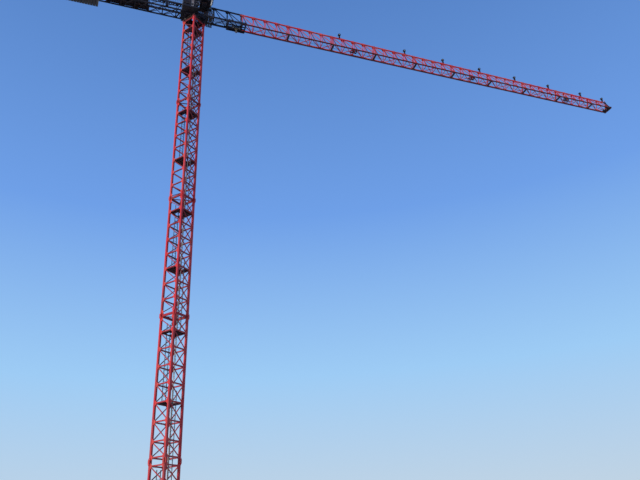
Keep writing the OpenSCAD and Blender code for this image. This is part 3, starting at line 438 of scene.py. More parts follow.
class Shape:
    """A mesh that grows from bars, plates, turned forms and bent tubes."""

    def __init__(self, matrix=None):
        self.bm = bmesh.new()
        self.matrix = matrix or Matrix.Identity(4)

    def rings(self, rings, loop=False):
        """Skin over rings of points, closed at both ends or joined up in a loop."""
        made = [[self.bm.verts.new(self.matrix @ Vector(p)) for p in ring] for ring in rings]
        for a, b in list(zip(made, made[1:])) + ([(made[-1], made[0])] if loop else []):
            n = len(a)
            for i in range(n):
                self.bm.faces.new((a[i], a[(i + 1) % n], b[(i + 1) % n], b[i]))
        if not loop:
            self.bm.faces.new(made[0][::-1])
            self.bm.faces.new(made[-1])
        return self

    def plate(self, outline, thick):
        """A flat outline, given as points, pushed out by the vector thick."""
        thick = Vector(thick)
        return self.rings([[Vector(p) for p in outline], [Vector(p) + thick for p in outline]])

    def box(self, p, q):
        """A block between any two opposite corners."""
        (x0, x1), (y0, y1), (z0, z1) = (sorted(c) for c in zip(p, q))
        return self.plate([(x0, y0, z0), (x1, y0, z0), (x1, y1, z0), (x0, y1, z0)], (0, 0, z1 - z0))

    def beam(self, p, q, w, h=None, up=(0, 0, 1)):
        """A bar from p to q, w wide, and h high in the direction up."""
        p, q = Vector(p), Vector(q)
        along = (q - p).normalized()
        side = along.cross(Vector(up))
        if side.length < 1e-4:
            side = along.cross(Vector((1, 0, 0)))
        side.normalize()
        top = side.cross(along) * (h or w) / 2
        side *= w / 2
        return self.rings([[c - side - top, c + side - top, c + side + top, c - side + top] for c in (p, q)])

    def turned(self, p, axis, profile, n=16):
        """A form turned round axis from p; profile is a list of (distance along, radius)."""
        p, axis = Vector(p), Vector(axis).normalized()
        a = axis.orthogonal().normalized()
        b = axis.cross(a)
        circle = [a * math.cos(2 * math.pi * i / n) + b * math.sin(2 * math.pi * i / n) for i in range(n)]
        return self.rings([[p + axis * d + c * r for c in circle] for d, r in profile])

    def cap(self, p, axis, r, h, top_h, top_r, n=16):
        """A disc of radius r and height h that narrows to top_r at top_h."""
        return self.turned(p, axis, [(0, r), (h, r), (top_h, top_r)], n)

    def rod(self, p, q, r, n=8):
        along = Vector(q) - Vector(p)
        return self.turned(p, along, [(0, r), (along.length, r)], n)

    def tube(self, points, r, n=8):
        """A round tube along a line of points."""
        points = [Vector(p) for p in points]
        last = len(points) - 1
        tangents = [(points[min(i + 1, last)] - points[max(i - 1, 0)]).normalized() for i in range(last + 1)]
        side = tangents[0].orthogonal().normalized()
        rings = []
        for point, tangent in zip(points, tangents):
            side = (side - tangent * side.dot(tangent)).normalized()
            other = tangent.cross(side)
            rings.append([point + (side * math.cos(2 * math.pi * k / n) + other * math.sin(2 * math.pi * k / n)) * r
                          for k in range(n)])
        return self.rings(rings)

    def handle(self, p, q, out, r):
        """A bent handle that stands out from p and q."""
        p, q, out = Vector(p), Vector(q), Vector(out)
        return self.tube([p, p + out, q + out, q], r, 6)

    def hoop(self, centre, axis, radius, r, n=24, m=6):
        centre, axis = Vector(centre), Vector(axis).normalized()
        a = axis.orthogonal().normalized()
        b = axis.cross(a)
        rings = []
        for i in range(n):
            out = a * math.cos(2 * math.pi * i / n) + b * math.sin(2 * math.pi * i / n)
            angles = [2 * math.pi * k / m for k in range(m)]
            rings.append([centre + out * (radius + r * math.cos(t)) + axis * r * math.sin(t) for t in angles])
        return self.rings(rings, loop=True)

    def bolt(self, p, axis, d, head=None):
        """A washer and a chamfered six-sided head standing on p."""
        head = head or 0.65 * d
        self.turned(p, axis, [(0, d), (0.12 * d, d)], 12)
        return self.turned(p, axis, [(0.12 * d, 0.82 * d), (head, 0.82 * d), (head * 1.15, 0.6 * d)], 6)

    def mesh(self, name, material, angle=35):
        bmesh.ops.recalc_face_normals(self.bm, faces=self.bm.faces)
        mesh = bpy.data.meshes.new(name)
        self.bm.to_mesh(mesh)
        self.bm.free()
        mesh.shade_smooth()
        mesh.set_sharp_from_angle(angle=math.radians(angle))
        mesh.materials.append(material)
        piece = bpy.data.objects.new(name, mesh)
        scene.collection.objects.link(piece)
        return piece

    def made(self, name, material, body, slot, bevel=0.0, angle=35):
        piece = self.mesh(name, material, angle)
        if bevel:
            edge = piece.modifiers.new("soft_edges", "BEVEL")
            edge.width = bevel
            edge.segments = 1
            edge.limit_method = "ANGLE"
        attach(piece, body)
        return piece


def four_sides(*shapes):
    """Turns the shapes to each side of the mast in turn."""
    for k in range(4):
        for shape in shapes:
            shape.matrix = MAST @ Matrix.Rotation(math.radians(90 * k), 4, "Z")
        yield k


# Mast

FACE_Y = -HALF_W - RING_T / 2         # outer face of the level bars
INNER = HALF_W - RING_T / 2
FOOT_Z = 0.036                        # top of the foot plates


def knot_levels():
    """Heights where bars meet the legs."""
    levels = []
    for foot, top in zip(JOINTS_Z, JOINTS_Z[1:]):
        levels += [foot + JOINT_GAP, top - JOINT_GAP] + [foot + BAY_H * i for i in range(1, BAYS)]
    return sorted(levels)


def mast_gussets():
    """Plates that join the bars to the legs on the mast's four sides."""
    shape = Shape()
    at = HALF_W - LEG / 2
    to = at - 0.085
    for side in four_sides(shape):
        for z in knot_levels():
            for s in SIDES:
                outline = [(at, 0.115), (to, 0.03), (to, -0.03), (at, -0.115)]
                shape.plate([(s * x, FACE_Y, z + up) for x, up in outline], (0, -0.007, 0))
    shape.made("mast_gussets", red_painted_highlight, "mast", "red_paint")


def mast_joint_bolts():
    """Long bolts through the lugs where two mast sections meet."""
    shape = Shape()
    y = -HALF_W - (LEG + LUG_T) / 2
    for side in four_sides(shape):
        for z in JOINTS_Z[1:-1]:
            for x in (s * HALF_W + k for s in SIDES for k in (-0.02, 0.02)):
                shape.rod((x, y, z - 0.095), (x, y, z + 0.095), 0.008)
                for up in SIDES:
                    shape.bolt((x, y, z + up * 0.068), (0, 0, up), 0.013, 0.016)
    shape.made("mast_joint_bolts", bolts, "mast", "bare_steel")


def mast_conduit():
    """Power conduit clamped to the level bars inside the mast."""
    shape = Shape(MAST)
    x, y = INNER - 0.024, 0.12
    for k in (0, 0.05):
        shape.rod((x, y + k, 0.3), (x, y + k, JOINTS_Z[-1] - 0.1), 0.014)
    for z in knot_levels():
        shape.box((x - 0.02, y - 0.03, z - 0.014), (INNER, y + 0.08, z + 0.014))
    shape.made("mast_conduit", dull_steel, "mast", "galvanised")


def base_fittings():
    """Anchor bolts and stiffeners at the four feet."""
    shape, plates = Shape(), Shape()
    out, bolt_at = HALF_W + LEG / 2, 0.106
    web = [(out, FOOT_Z), (out + 0.1, FOOT_Z), (out + 0.1, FOOT_Z + 0.02), (out, FOOT_Z + 0.17)]
    for side in four_sides(shape, plates):
        for x, y in ((a, b) for a in SIDES for b in SIDES):
            p = Vector((HALF_W + x * bolt_at, y * bolt_at - HALF_W, 0))
            shape.rod(p + UP * 0.004, p + UP * 0.1, 0.012)
            shape.bolt(p + UP * FOOT_Z, UP, 0.021, 0.028)
        for t in (-0.03, 0.018):
            plates.plate([(r, t - HALF_W, z) for r, z in web], (0, 0.012, 0))
            plates.plate([(HALF_W + t, -r, z) for r, z in web], (0.012, 0, 0))
    shape.made("anchor_bolts", bolts, "mast", "bare_steel")
    plates.made("foot_stiffeners", red_painted_highlight, "mast", "red_paint", 0.001)


def supply_box():
    """Closed switch box on the mast's lowest bay."""
    shape = Shape(MAST)
    back, front, door = FACE_Y - 0.012, FACE_Y - 0.13, FACE_Y - 0.137
    z0, z1 = JOINTS_Z[0] + 0.24, JOINTS_Z[0] + 0.66
    for z in (z0 + 0.06, z1 - 0.06):
        shape.box((-HALF_W, back, z - 0.012), (HALF_W, FACE_Y, z + 0.012))
    shape.box((-0.14, front, z0), (0.14, back, z1))
    shape.box((-0.128, door, z0 + 0.012), (0.128, front, z1 - 0.012))
    for z in (z0 + 0.07, z1 - 0.07):
        shape.rod((-0.134, door - 0.001, z - 0.02), (-0.134, door - 0.001, z + 0.02), 0.007)
    shape.box((0.09, door - 0.015, z0 + 0.18), (0.105, door, z0 + 0.25))
    for x in (-0.08, 0, 0.08):
        shape.turned((x, FACE_Y - 0.07, z0), DOWN, [(0, 0.02), (0.015, 0.02), (0.02, 0.014), (0.04, 0.014)])
    shape.made("supply_box", pale, "mast", "pale_paint", 0.003)


REST_LEVELS = [z + bay * BAY_H for z in JOINTS_Z[:-1] for bay in (3, 7)]
REST_T = 0.03
HATCH_X, HATCH_Y = 0.15, 0.29 - INNER     # the ladder's hatch: half its width, and its inner end


def rest_sides(*shapes):
    """Turns the shapes to each rest platform's ladder side in turn."""
    for i, z in enumerate(REST_LEVELS):
        for shape in shapes:
            shape.matrix = Matrix.Rotation(MAST_TURN + math.pi * (i % 2), 4, "Z")
        yield i, z - REST_T / 2, z + REST_T / 2


def platform_fittings():
    """Coamings, open lids and angle stiffeners of the rest platforms."""
    shape, lids = Shape(), Shape()
    for i, under, top in rest_sides(shape, lids):
        outer = HATCH_X + PLATE_T
        for s in SIDES:
            shape.box((s * HATCH_X, -INNER, top), (s * outer, HATCH_Y, top + 0.03))
        shape.box((-outer, HATCH_Y, top), (outer, HATCH_Y + PLATE_T, top + 0.03))
        for y in (0.05, 0.2):
            shape.box((-INNER, y, under - 0.025), (INNER, y + 0.006, under))
        hinge, end = HATCH_Y + 0.012, HATCH_Y + 0.3
        lids.box((-0.14, hinge, top), (0.14, end, top + 0.005))
        lids.handle((-0.05, end - 0.03, top), (0.05, end - 0.03, top), UP * 0.03, 0.005)
        for x in (-0.1, 0.05):
            lids.rod((x, hinge, top + 0.004), (x + 0.05, hinge, top + 0.004), 0.008)
    shape.made("platform_coamings", dull_steel, "mast", "galvanised")
    lids.made("platform_lids", tread, "mast", "galvanised")


def rest_gratings():
    """The rest platforms as framed gratings with a hatch, in place of the plain plates."""
    shape = Shape()
    edge, corner = INNER - 0.0006, INNER - 0.02
    pitch, bar, cross = 0.017, 0.0015, 0.003
    for i, under, top in rest_sides(shape):
        for s in SIDES:
            shape.box((s * edge, -corner, under), (s * (edge - PLATE_T), corner, top))
            shape.box((s * HATCH_X, -edge, under), (s * corner, -edge + PLATE_T, top))
            shape.box((s * HATCH_X, -edge, under), (s * (HATCH_X + PLATE_T), edge, top))
        shape.box((-corner, edge - PLATE_T, under), (corner, edge, top))
        shape.box((-HATCH_X, HATCH_Y, under), (HATCH_X, HATCH_Y + PLATE_T, top))
        for k in range(-19, 20):
            x = pitch * k
            start = HATCH_Y if abs(x) < HATCH_X else -edge
            shape.box((x - bar, start, top - 0.021), (x + bar, edge, top))
        for y in steps(-0.325, 0.325, 26):
            spans = [(-edge, -HATCH_X), (HATCH_X, edge)] if y < HATCH_Y else [(-edge, edge)]
            for a, b in spans:
                shape.box((a, y - cross, top - 0.008), (b, y + cross, top - 0.001))
    piece = shape.made("rest_gratings", tread, "mast", "galvanised")
    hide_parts("mast_platforms")


def ladder_brackets():
    """Short arms that hold the ladders to the level bars."""
    shape = Shape()
    floors = [0.12] + [z + REST_T / 2 for z in REST_LEVELS]
    for i, under, top in rest_sides(shape):
        for level in knot_levels():
            if floors[i] + 0.1 < level < floors[i + 1] + 0.4:
                for x in (-0.098, 0.098):
                    shape.box((x - 0.008, -INNER, level - 0.012), (x + 0.008, -LADDER_Y, level + 0.012))
                    shape.bolt((x, -LADDER_Y + 0.012, level), (0, 1, 0), 0.008)
    shape.made("ladder_brackets", dull_steel, "mast", "galvanised")


def ring_bolts():
    """Bolts of the slewing ring under the mast's top plate, but none where the legs stand."""
    shape = Shape()
    under = high("ring_support").z - 0.02
    for out in spokes(40, start=4.5):
        turn = math.degrees(math.atan2(out.y, out.x) - MAST_TURN)
        if abs(turn % 45 - 22.5) < 18.5:
            shape.bolt(out * 0.345 + UP * under, DOWN, 0.013, 0.02)
    shape.made("slewing_ring_bolts", bolts, "mast", "bare_steel")


mast_gussets()
mast_joint_bolts()
mast_conduit()
base_fittings()
supply_box()
platform_fittings()
rest_gratings()
ladder_brackets()
ring_bolts()


# Head

def depth_at(x):
    """The jib's depth between its chords' middles."""
    return JIB_DEPTH - (JIB_DEPTH - JIB_DEPTH_END) * (x - JIB_FIRST) / (JIB_END_X - JIB_FIRST)


def top_at(x):
    return JIB_Z + depth_at(x) + TOP_OF_CHORD


CAB_ABOVE_HEAD = 0.4414   # from the top of the head's frame to the cab's roof
HEAD_TOP = high("cab_shell").z - CAB_ABOVE_HEAD
CAB_FOOT = low("cab_shell").z
PLATFORM_Z = JIB_Z - CHORD / 2 - 0.15
RAIL_H, RAIL_R = 0.5, 0.01


def rail(shape, points, z, posts=0.45):
    """Hand rail over a line of floor points, with posts at most posts apart."""
    points = [Vector(p) + UP * z for p in points]
    for h in (RAIL_H / 2, RAIL_H):
        shape.tube([p + UP * h for p in points], RAIL_R)
    for a, b in zip(points, points[1:]):
        n = max(1, math.ceil((b - a).length / posts))
        for k in range(n + 1):
            foot = a.lerp(b, k / n)
            shape.rod(foot, foot + UP * RAIL_H, RAIL_R * 0.9)


def head_details():
    """Hand rails and toe boards of the walkway, and the steps up to the cab."""
    rails, boards, stair = Shape(), Shape(), Shape()
    x0, x1 = low("head_walkways").x + 0.012, 0.153
    y0, y1 = -HEAD_Y - 0.388, -HEAD_Y - 0.012
    rail(rails, [(x0, y1, 0), (x0, y0, 0), (x1, y0, 0)], DECK_Z)
    boards.box((x0, y0 - 0.008, DECK_Z), (x1, y0 - 0.004, DECK_Z + 0.06))
    boards.box((x0 - 0.008, y0, DECK_Z), (x0 - 0.004, y1, DECK_Z + 0.06))
    rails.made("walkway_rails", dull_steel, "upperworks", "galvanised")
    boards.made("walkway_toe_boards", navy, "upperworks", "navy_paint")
    foot, head = Vector((-0.12, 0, DECK_Z)), Vector((0.15, 0, CAB_FOOT + 0.05))
    rise = UP * 0.4
    for y in (-0.74, -0.5):
        a, b = foot + Vector((0, y, 0)), head + Vector((0, y, 0))
        stair.beam(a, b, 0.012, 0.05, up=(1, 0, 0))
        for p, q in ((a + UP * 0.02, a + rise), (a + rise, b + rise), (b, b + rise)):
            stair.rod(p, q, 0.008)
    for k in range(1, 5):
        p = foot.lerp(head, k / 4.6)
        stair.box((p.x - 0.045, -0.734, p.z), (p.x + 0.045, -0.506, p.z + 0.01))
    sill, a, b = CAB_FOOT - 0.06, 0.17, 0.9
    stair.box((a, -0.52, sill), (b, -HEAD_Y - 0.002, sill + 0.01))
    for y in (-0.52, -HEAD_Y - 0.01):
        stair.box((a, y, sill - 0.03), (b, y + 0.008, sill + 0.02))
    stair.made("cab_steps", deck, "upperworks", "galvanised")


def mesh_panel(shape, p, q, step, r):
    """Welded mesh in the upright plane from corner p to corner q."""
    p, q = Vector(p), Vector(q)
    flat, rise = Vector((q.x - p.x, q.y - p.y, 0)), Vector((0, 0, q.z - p.z))
    for way, bar in ((flat, rise), (rise, flat)):
        n = round(way.length / step)
        for k in range(n + 1):
            shape.rod(p + way * k / n, p + way * k / n + bar, r, 4)


def machine_guards():
    """Mesh in the side openings of the head, and rails with mesh round the front platform."""
    mesh, rails = Shape(), Shape()
    back, front = HEAD_X + 0.03, ROOT_FRAMES[1] - 0.05
    for s in SIDES:
        y = s * (HEAD_Y - 0.02)
        mesh_panel(mesh, (0.05, y, DECK_Z + COLUMN), (HEAD_X - COLUMN, y, CAB_FOOT - COLUMN), 0.024, 0.006)
        y = s * (HEAD_Y - 0.012)
        rail(rails, [(back, y, 0), (front, y, 0)], PLATFORM_Z, 0.35)
        mesh_panel(mesh, (back, y, PLATFORM_Z + 0.03), (front, y, PLATFORM_Z + RAIL_H - 0.02), 0.026, 0.004)
    mesh.made("machine_guards", navy, "upperworks", "navy_paint")
    rails.made("front_platform_rails", dull_steel, "upperworks", "galvanised")


def head_plates():
    """Bolted plates at the corners of the head's box frame."""
    plates, heads = Shape(), Shape()
    mid, top = CAB_FOOT - COLUMN / 2, HEAD_TOP - COLUMN / 2
    outline = ((0, -0.045), (0.24, -0.045), (0.24, 0.03), (0.09, 0.15), (0, 0.15))
    holes = ((0.03, 0), (0.09, 0), (0.15, 0), (0.21, 0), (0.045, 0.06), (0.045, 0.115))
    for s in SIDES:
        for x in SIDES:
            for z, up in ((DECK_Z + COLUMN / 2, 1), (mid, 1), (top, -1)):
                corner = Vector((x * HEAD_X, s * HEAD_Y, z))
                plates.plate([corner + Vector((-x * a, 0, up * b)) for a, b in outline], (0, s * PLATE_T, 0))
                for a, b in holes:
                    heads.bolt(corner + Vector((-x * a, s * PLATE_T, up * b)), (0, s, 0), 0.011)
    plates.made("head_corner_plates", navy, "upperworks", "navy_paint", 0.001)
    heads.made("head_bolts", bolts, "upperworks", "bare_steel")


def drive_details():
    """Flanges, fins, fan cowls and terminal boxes of the slewing drives."""
    fins, covers, heads = Shape(), Shape(), Shape()
    top = high("slewing_drives").z
    base = top - 0.14
    for x in (-0.481, 0.481):
        covers.cap((x, 0, DECK_Z), UP, 0.078, 0.014, 0.02, 0.064, 24)
        covers.cap((x, 0, base - 0.016), UP, 0.07, 0.03, 0.036, 0.05, 24)
        covers.cap((x, 0, top - 0.03), UP, 0.056, 0.026, 0.036, 0.046, 24)
        covers.box((x - 0.03, -0.085, base + 0.035), (x + 0.03, -0.045, base + 0.09))
        for k, out in enumerate(spokes(24)):
            p = Vector((x, 0, 0)) + out * 0.049
            fins.beam(p + UP * (base + 0.03), p + UP * (top - 0.034), 0.003, 0.012, up=out)
            if k % 3 == 0:
                heads.bolt(Vector((x, 0, DECK_Z + 0.014)) + out * 0.071, UP, 0.008)
                heads.bolt(Vector((x, 0, base + 0.014)) + out * 0.062, UP, 0.006)
    fins.made("drive_fins", dull_steel, "upperworks", "galvanised")
    covers.made("drive_covers", dull_steel, "upperworks", "galvanised", 0.001)
    heads.made("drive_bolts", bolts, "upperworks", "bare_steel")


def louvres(shape, p, q, normal, n):
    """n slanting slats between the corners p and q of an upright panel."""
    p, q, normal = Vector(p), Vector(q), Vector(normal)
    across, out = Vector((q.x - p.x, q.y - p.y, 0)), normal * 0.014
    rise = (q.z - p.z) / n
    for k in range(n):
        a = p + UP * (rise * (k + 0.15))
        shape.plate([a, a + out, a + out + UP * 0.004, a + UP * (rise * 0.6)], across)


def cabinet_details():
    """Doors, handles, hinges and louvres of the cabinets and the electric house."""
    shape = Shape()
    skin, hold, y0, z0 = 0.006, 0.02, low("switch_cabinet").y, DECK_Z
    for x0, x1, y1, h in ((-0.7, -0.322, -0.48, 0.76), (-0.294, -0.14, -0.56, 0.70)):
        z1, mid, front = z0 + h, (x0 + x1) / 2, y1 + skin
        edges = [(x0 + 0.008, mid - 0.003), (mid + 0.003, x1 - 0.008)]
        for a, b in edges if x1 - x0 > 0.3 else [(x0 + 0.008, x1 - 0.008)]:
            shape.box((a, y1, z0 + 0.04), (b, front, z1 - 0.02))
            shape.box((b - 0.025, front, z0 + h * 0.5), (b - 0.015, y1 + hold, z0 + h * 0.6))
            louvres(shape, (a + 0.03, front, z0 + h * 0.72), (b - 0.03, front, z0 + h * 0.9), (0, 1, 0), 5)
            for z in (z0 + 0.12, z1 - 0.12):
                shape.rod((a, front, z - 0.02), (a, front, z + 0.02), 0.006)
        louvres(shape, (x0 + 0.03, y0, z0 + h * 0.2), (x1 - 0.03, y0, z0 + h * 0.45), (0, -1, 0), 6)
        shape.box((x0 - 0.012, y0 - 0.012, z1), (x1 + 0.012, y1 + 0.012, z1 + 0.008))
    z0, z1 = CAB_FOOT + 0.06, HEAD_TOP - COLUMN - 0.02
    for s in SIDES:
        y = s * high("switch_cabinet").y
        front = y + s * skin
        for b in (-0.26, 0.08):
            a = b - 0.32
            shape.box((a, y, z0), (b, front, z1))
            louvres(shape, (a + 0.04, front, z0 + 0.05), (b - 0.04, front, z0 + 0.2), (0, s, 0), 6)
            shape.box((b - 0.04, y, z0 + 0.27), (b - 0.03, y + s * hold, z0 + 0.35))
    shape.made("cabinet_details", navy, "upperworks", "pale_paint", 0.001)


def cab_details():
    """Window gaskets, door, grab rails, wiper, seat and cooling unit of the cab."""
    gasket, trim, seat, wiper, pane, unit = (Shape() for _ in range(6))
    x0, y0, z0 = 0.205, -HEAD_Y - 0.06, low("cab_glass").z - 0.048
    front, y1 = x0 + 0.7, y0 - 0.56
    pane_low, pane_high = z0 + 0.37, z0 + 1.0

    def seal(corners):
        gasket.tube(corners + corners[:1], 0.008, 6)

    for y, s in ((y0, 1), (y1, -1)):
        a, b, mid = x0 + 0.05, x0 + 0.6, x0 + 0.36
        seal([(a, y, pane_low), (b, y, pane_low), (b, y, pane_high), (a, y, pane_high)])
        trim.rod((mid, y + s * 0.004, pane_low), (mid, y + s * 0.004, pane_high), 0.009)
    for (xa, za), (xb, zb) in (((front, pane_low), (front, pane_high)),
                               ((front - 0.119, z0 + 0.048), (front - 0.021, z0 + 0.272))):
        seal([(xa, y0 - 0.05, za), (xa, y1 + 0.05, za), (xb, y1 + 0.05, zb), (xb, y0 - 0.05, zb)])
    gasket.made("cab_gaskets", black, "upperworks", "pale_paint")

    d0, d1, skin = y0 - 0.1, y0 - 0.42, x0 - 0.006
    trim.box((skin, d1, z0 + 0.04), (x0, d0, z0 + 1.0))
    for z in (z0 + 0.2, z0 + 0.85):
        trim.rod((x0 - 0.008, d0 - 0.004, z - 0.03), (x0 - 0.008, d0 - 0.004, z + 0.03), 0.008)
    trim.handle((skin, d1 + 0.03, z0 + 0.5), (skin, d1 + 0.03, z0 + 0.62), (-0.024, 0, 0), 0.006)
    for y in (d0 + 0.03, d1 - 0.03):
        trim.handle((x0, y, z0 + 0.25), (x0, y, z0 + 0.8), (-0.04, 0, 0), 0.007)
    bar_x, bar_z = front + 0.004, z0 + 0.335
    trim.handle((bar_x, y0 - 0.03, bar_z), (bar_x, y1 + 0.03, bar_z), (0.03, 0, 0), 0.007)
    trim.made("cab_trim", navy, "upperworks", "navy_paint", 0.001)
    pane.box((x0 - 0.009, d1 + 0.06, z0 + 0.55), (skin, d0 - 0.05, z0 + 0.94))
    pane.made("cab_door_pane", glass, "upperworks", "glass")

    y, blade_y, z = y0 - 0.26, y0 - 0.17, z0 + 0.365
    wiper.rod((front + 0.002, y, z), (front + 0.02, y, z), 0.01)
    wiper.beam((front + 0.016, y, z), (front + 0.012, blade_y, z0 + 0.68), 0.005, 0.008)
    wiper.beam((front + 0.008, blade_y, z0 + 0.48), (front + 0.008, blade_y, z0 + 0.88), 0.004, 0.012, up=(0, 1, 0))
    wiper.made("cab_wiper", black, "upperworks", "pale_paint")

    cx, cy = x0 + 0.26, (y0 + y1) / 2
    seat.turned((cx, cy, z0 + 0.025), UP, [(0, 0.09), (0.012, 0.09), (0.03, 0.03), (0.17, 0.03)])
    seat.box((cx - 0.13, cy - 0.12, z0 + 0.19), (cx + 0.13, cy + 0.12, z0 + 0.25))
    back = ((-0.13, 0.22), (-0.07, 0.24), (-0.12, 0.62), (-0.17, 0.62))
    seat.plate([(cx + a, cy - 0.12, z0 + b) for a, b in back], (0, 0.24, 0))
    for y in (cy - 0.17, cy + 0.17):
        seat.box((cx - 0.1, y - 0.035, z0 + 0.3), (cx + 0.14, y + 0.035, z0 + 0.35))
        seat.box((cx - 0.03, y - 0.02, z0 + 0.024), (cx + 0.03, y + 0.02, z0 + 0.3))
        seat.rod((cx + 0.1, y, z0 + 0.35), (cx + 0.1, y, z0 + 0.42), 0.008)
        seat.turned((cx + 0.1, y, z0 + 0.42), UP, [(0, 0.008), (0.008, 0.016), (0.024, 0.016), (0.034, 0.006)])
    seat.made("cab_seat", black, "upperworks", "navy_paint", 0.006)
    unit.box((x0 + 0.12, y1 + 0.12, z0 - 0.2), (x0 + 0.36, y0 - 0.18, z0 - 0.051))
    louvres(unit, (x0 + 0.14, y1 + 0.12, z0 - 0.18), (x0 + 0.34, y1 + 0.12, z0 - 0.07), (0, -1, 0), 5)
    unit.made("cab_cooling_unit", navy, "upperworks", "pale_paint", 0.003)


head_details()
machine_guards()
head_plates()
drive_details()
cabinet_details()
cab_details()


# Jib

def jib_frames():
    """Places along the jib where bars meet the upper chord."""
    end_frame = (JIB_END_X + TIP_X) / 2 - 0.07
    return list(ROOT_FRAMES) + steps(JIB_FIRST, JIB_END_X, SECTIONS * PANELS) + [end_frame]


def jib_pins():
    """Pins with their heads and keepers at the joints of the jib's sections."""
    shape = Shape()
    for x in steps(JIB_FIRST, JIB_END_X, SECTIONS):
        for s in SIDES:
            y = s * (HALF_GAUGE - CHORD / 2 - 0.014)
            keeper = Vector((x, y - s * 0.006, JIB_Z + 0.04))
            for a in (-0.055, 0.055):
                shape.cap((x + a, y, JIB_Z + 0.014), (0, -s, 0), 0.02, 0.008, 0.012, 0.016, 12)
                shape.rod(keeper + Vector((a - 0.012, 0, 0)), keeper + Vector((a + 0.012, 0, 0)), 0.004, 6)
        z = JIB_Z + depth_at(x) + 0.005
        for a in (-0.05, 0.05):
            shape.rod((x + a, -0.054, z), (x + a, 0.054, z), 0.014, 10)
            for s in SIDES:
                shape.cap((x + a, s * 0.042, z), (0, s, 0), 0.022, 0.008, 0.012, 0.016, 12)
    shape.made("jib_pins", bolts, "upperworks", "bare_steel")


def jib_gussets():
    """Small plates where the jib's bars meet its chords."""
    red_shape, dark_shape = Shape(), Shape()
    y, z = HALF_GAUGE - CHORD / 2 - 0.004, JIB_Z + CHORD / 2
    for x in jib_frames():
        shape = dark_shape if x < JIB_FIRST - 0.1 else red_shape
        top = JIB_Z + depth_at(x) - 0.055
        for s in SIDES:
            foot = ((-0.1, -0.01), (0.1, -0.01), (0.045, 0.05), (-0.045, 0.05))
            shape.plate([(x + a, s * y, z + b) for a, b in foot], (0, s * PLATE_T, 0))
            head = ((-0.1, 0.05, 0.03), (0.1, 0.05, 0.03), (0.05, 0.072, -0.06), (-0.05, 0.072, -0.06))
            shape.plate([(x + a, s * b, top + c) for a, b, c in head], (0, -s * PLATE_T, 0))
    red_shape.made("jib_gussets", red_painted_highlight, "upperworks", "red_paint")
    dark_shape.made("root_gussets", navy, "upperworks", "navy_paint")


def root_catwalk():
    """Grating along the jib's dark root."""
    shape = Shape()
    x0, x1, z = ROOT_FRAMES[1] + 0.06, JIB_FIRST - 0.06, JIB_Z + 0.035
    half = 0.122
    for s in SIDES:
        shape.box((x0, s * half, z - 0.008), (x1, s * (half + PLATE_T), z + 0.02))
    bar = 0.005
    for x in steps(x0, x1 - bar, round((x1 - x0) / 0.03)):
        shape.box((x, -half, z), (x + bar, half, z + 0.012))
    for y in steps(-0.08, 0.08, 4):
        shape.box((x0, y - 0.002, z + 0.002), (x1, y + 0.002, z + 0.01))
    shape.made("root_catwalk", dull_steel, "upperworks", "galvanised")


def safety_line():
    """Eyes for a lifeline along the jib's upper chord."""
    shape = Shape()
    for x in jib_frames()[3::4]:
        p = Vector((x, 0, top_at(x)))
        shape.rod(p, p + UP * 0.03, 0.008, 6)
        shape.hoop(p + UP * 0.038, (1, 0, 0), 0.011, 0.003, 12)
    shape.made("lifeline_eyes", bolts, "upperworks", "bare_steel")


LAMP_PLACES = (2.19, 3.79, 4.79, 5.79, 6.79, 7.79, 8.79)      # in jib sections
LAMP_XS = [JIB_FIRST + k * SECTION_L for k in LAMP_PLACES] + [JIB_END_X + 0.84 * END_L]


def lamp_details():
    """Lenses, visors and brackets of the lamps on the jib."""
    lenses, frames = Shape(), Shape()
    for x in LAMP_XS:
        z = top_at(x)
        mid = z + 0.298
        for s in SIDES:
            y = s * 0.05
            lenses.turned((x, y, mid), (0, s, 0), [(0, 0.034), (0.006, 0.034), (0.012, 0.022), (0.014, 0.008)], 20)
            frames.hoop((x, y + s * 0.004, mid), (0, 1, 0), 0.036, 0.005, 20)
            frames.box((x - 0.07, y, mid + 0.036), (x + 0.07, y + s * 0.03, mid + 0.041))
        frames.box((x - 0.05, -0.045, z), (x + 0.05, 0.045, z + 0.008))
        for a in (-0.035, 0.035):
            frames.bolt((x + a, 0, z + 0.008), UP, 0.009)
        frames.beam((x + 0.045, 0, z + 0.008), (x + 0.008, 0, z + 0.12), 0.006, 0.02, up=(0, 1, 0))
        frames.box((x - 0.035, -0.04, z + 0.05), (x + 0.035, 0.04, z + 0.22))
        frames.box((x - 0.03, -0.046, z + 0.06), (x + 0.03, -0.04, z + 0.21))
    lenses.made("lamp_lenses", clear_lens, "upperworks", "glass")
    frames.made("lamp_frames", navy, "upperworks", "navy_paint")


def roller_frames():
    """Side channels and caps that carry the rope rollers."""
    shape = Shape()
    z, half = JIB_Z + 0.016, 0.2
    for x in (JIB_FIRST + k * SECTION_L for k in (2.5, 5.5, 8.25)):
        for s in SIDES:
            y = s * 0.066
            shape.box((x - half, y, z), (x + half, y + s * PLATE_T, z + 0.09))
            for a in (0.0, 0.082):
                shape.box((x - half, y, z + a), (x + half, y + s * 0.03, z + a + PLATE_T))
            for a in (-0.04, 0.04):
                shape.bolt((x + a, y + s * PLATE_T, z + 0.045), (0, s, 0), 0.012)
        for a in (-0.19, 0.17):
            shape.box((x + a, -0.066, z), (x + a + 0.02, 0.066, z + 0.06))
    shape.made("roller_frames", navy, "upperworks", "navy_paint")


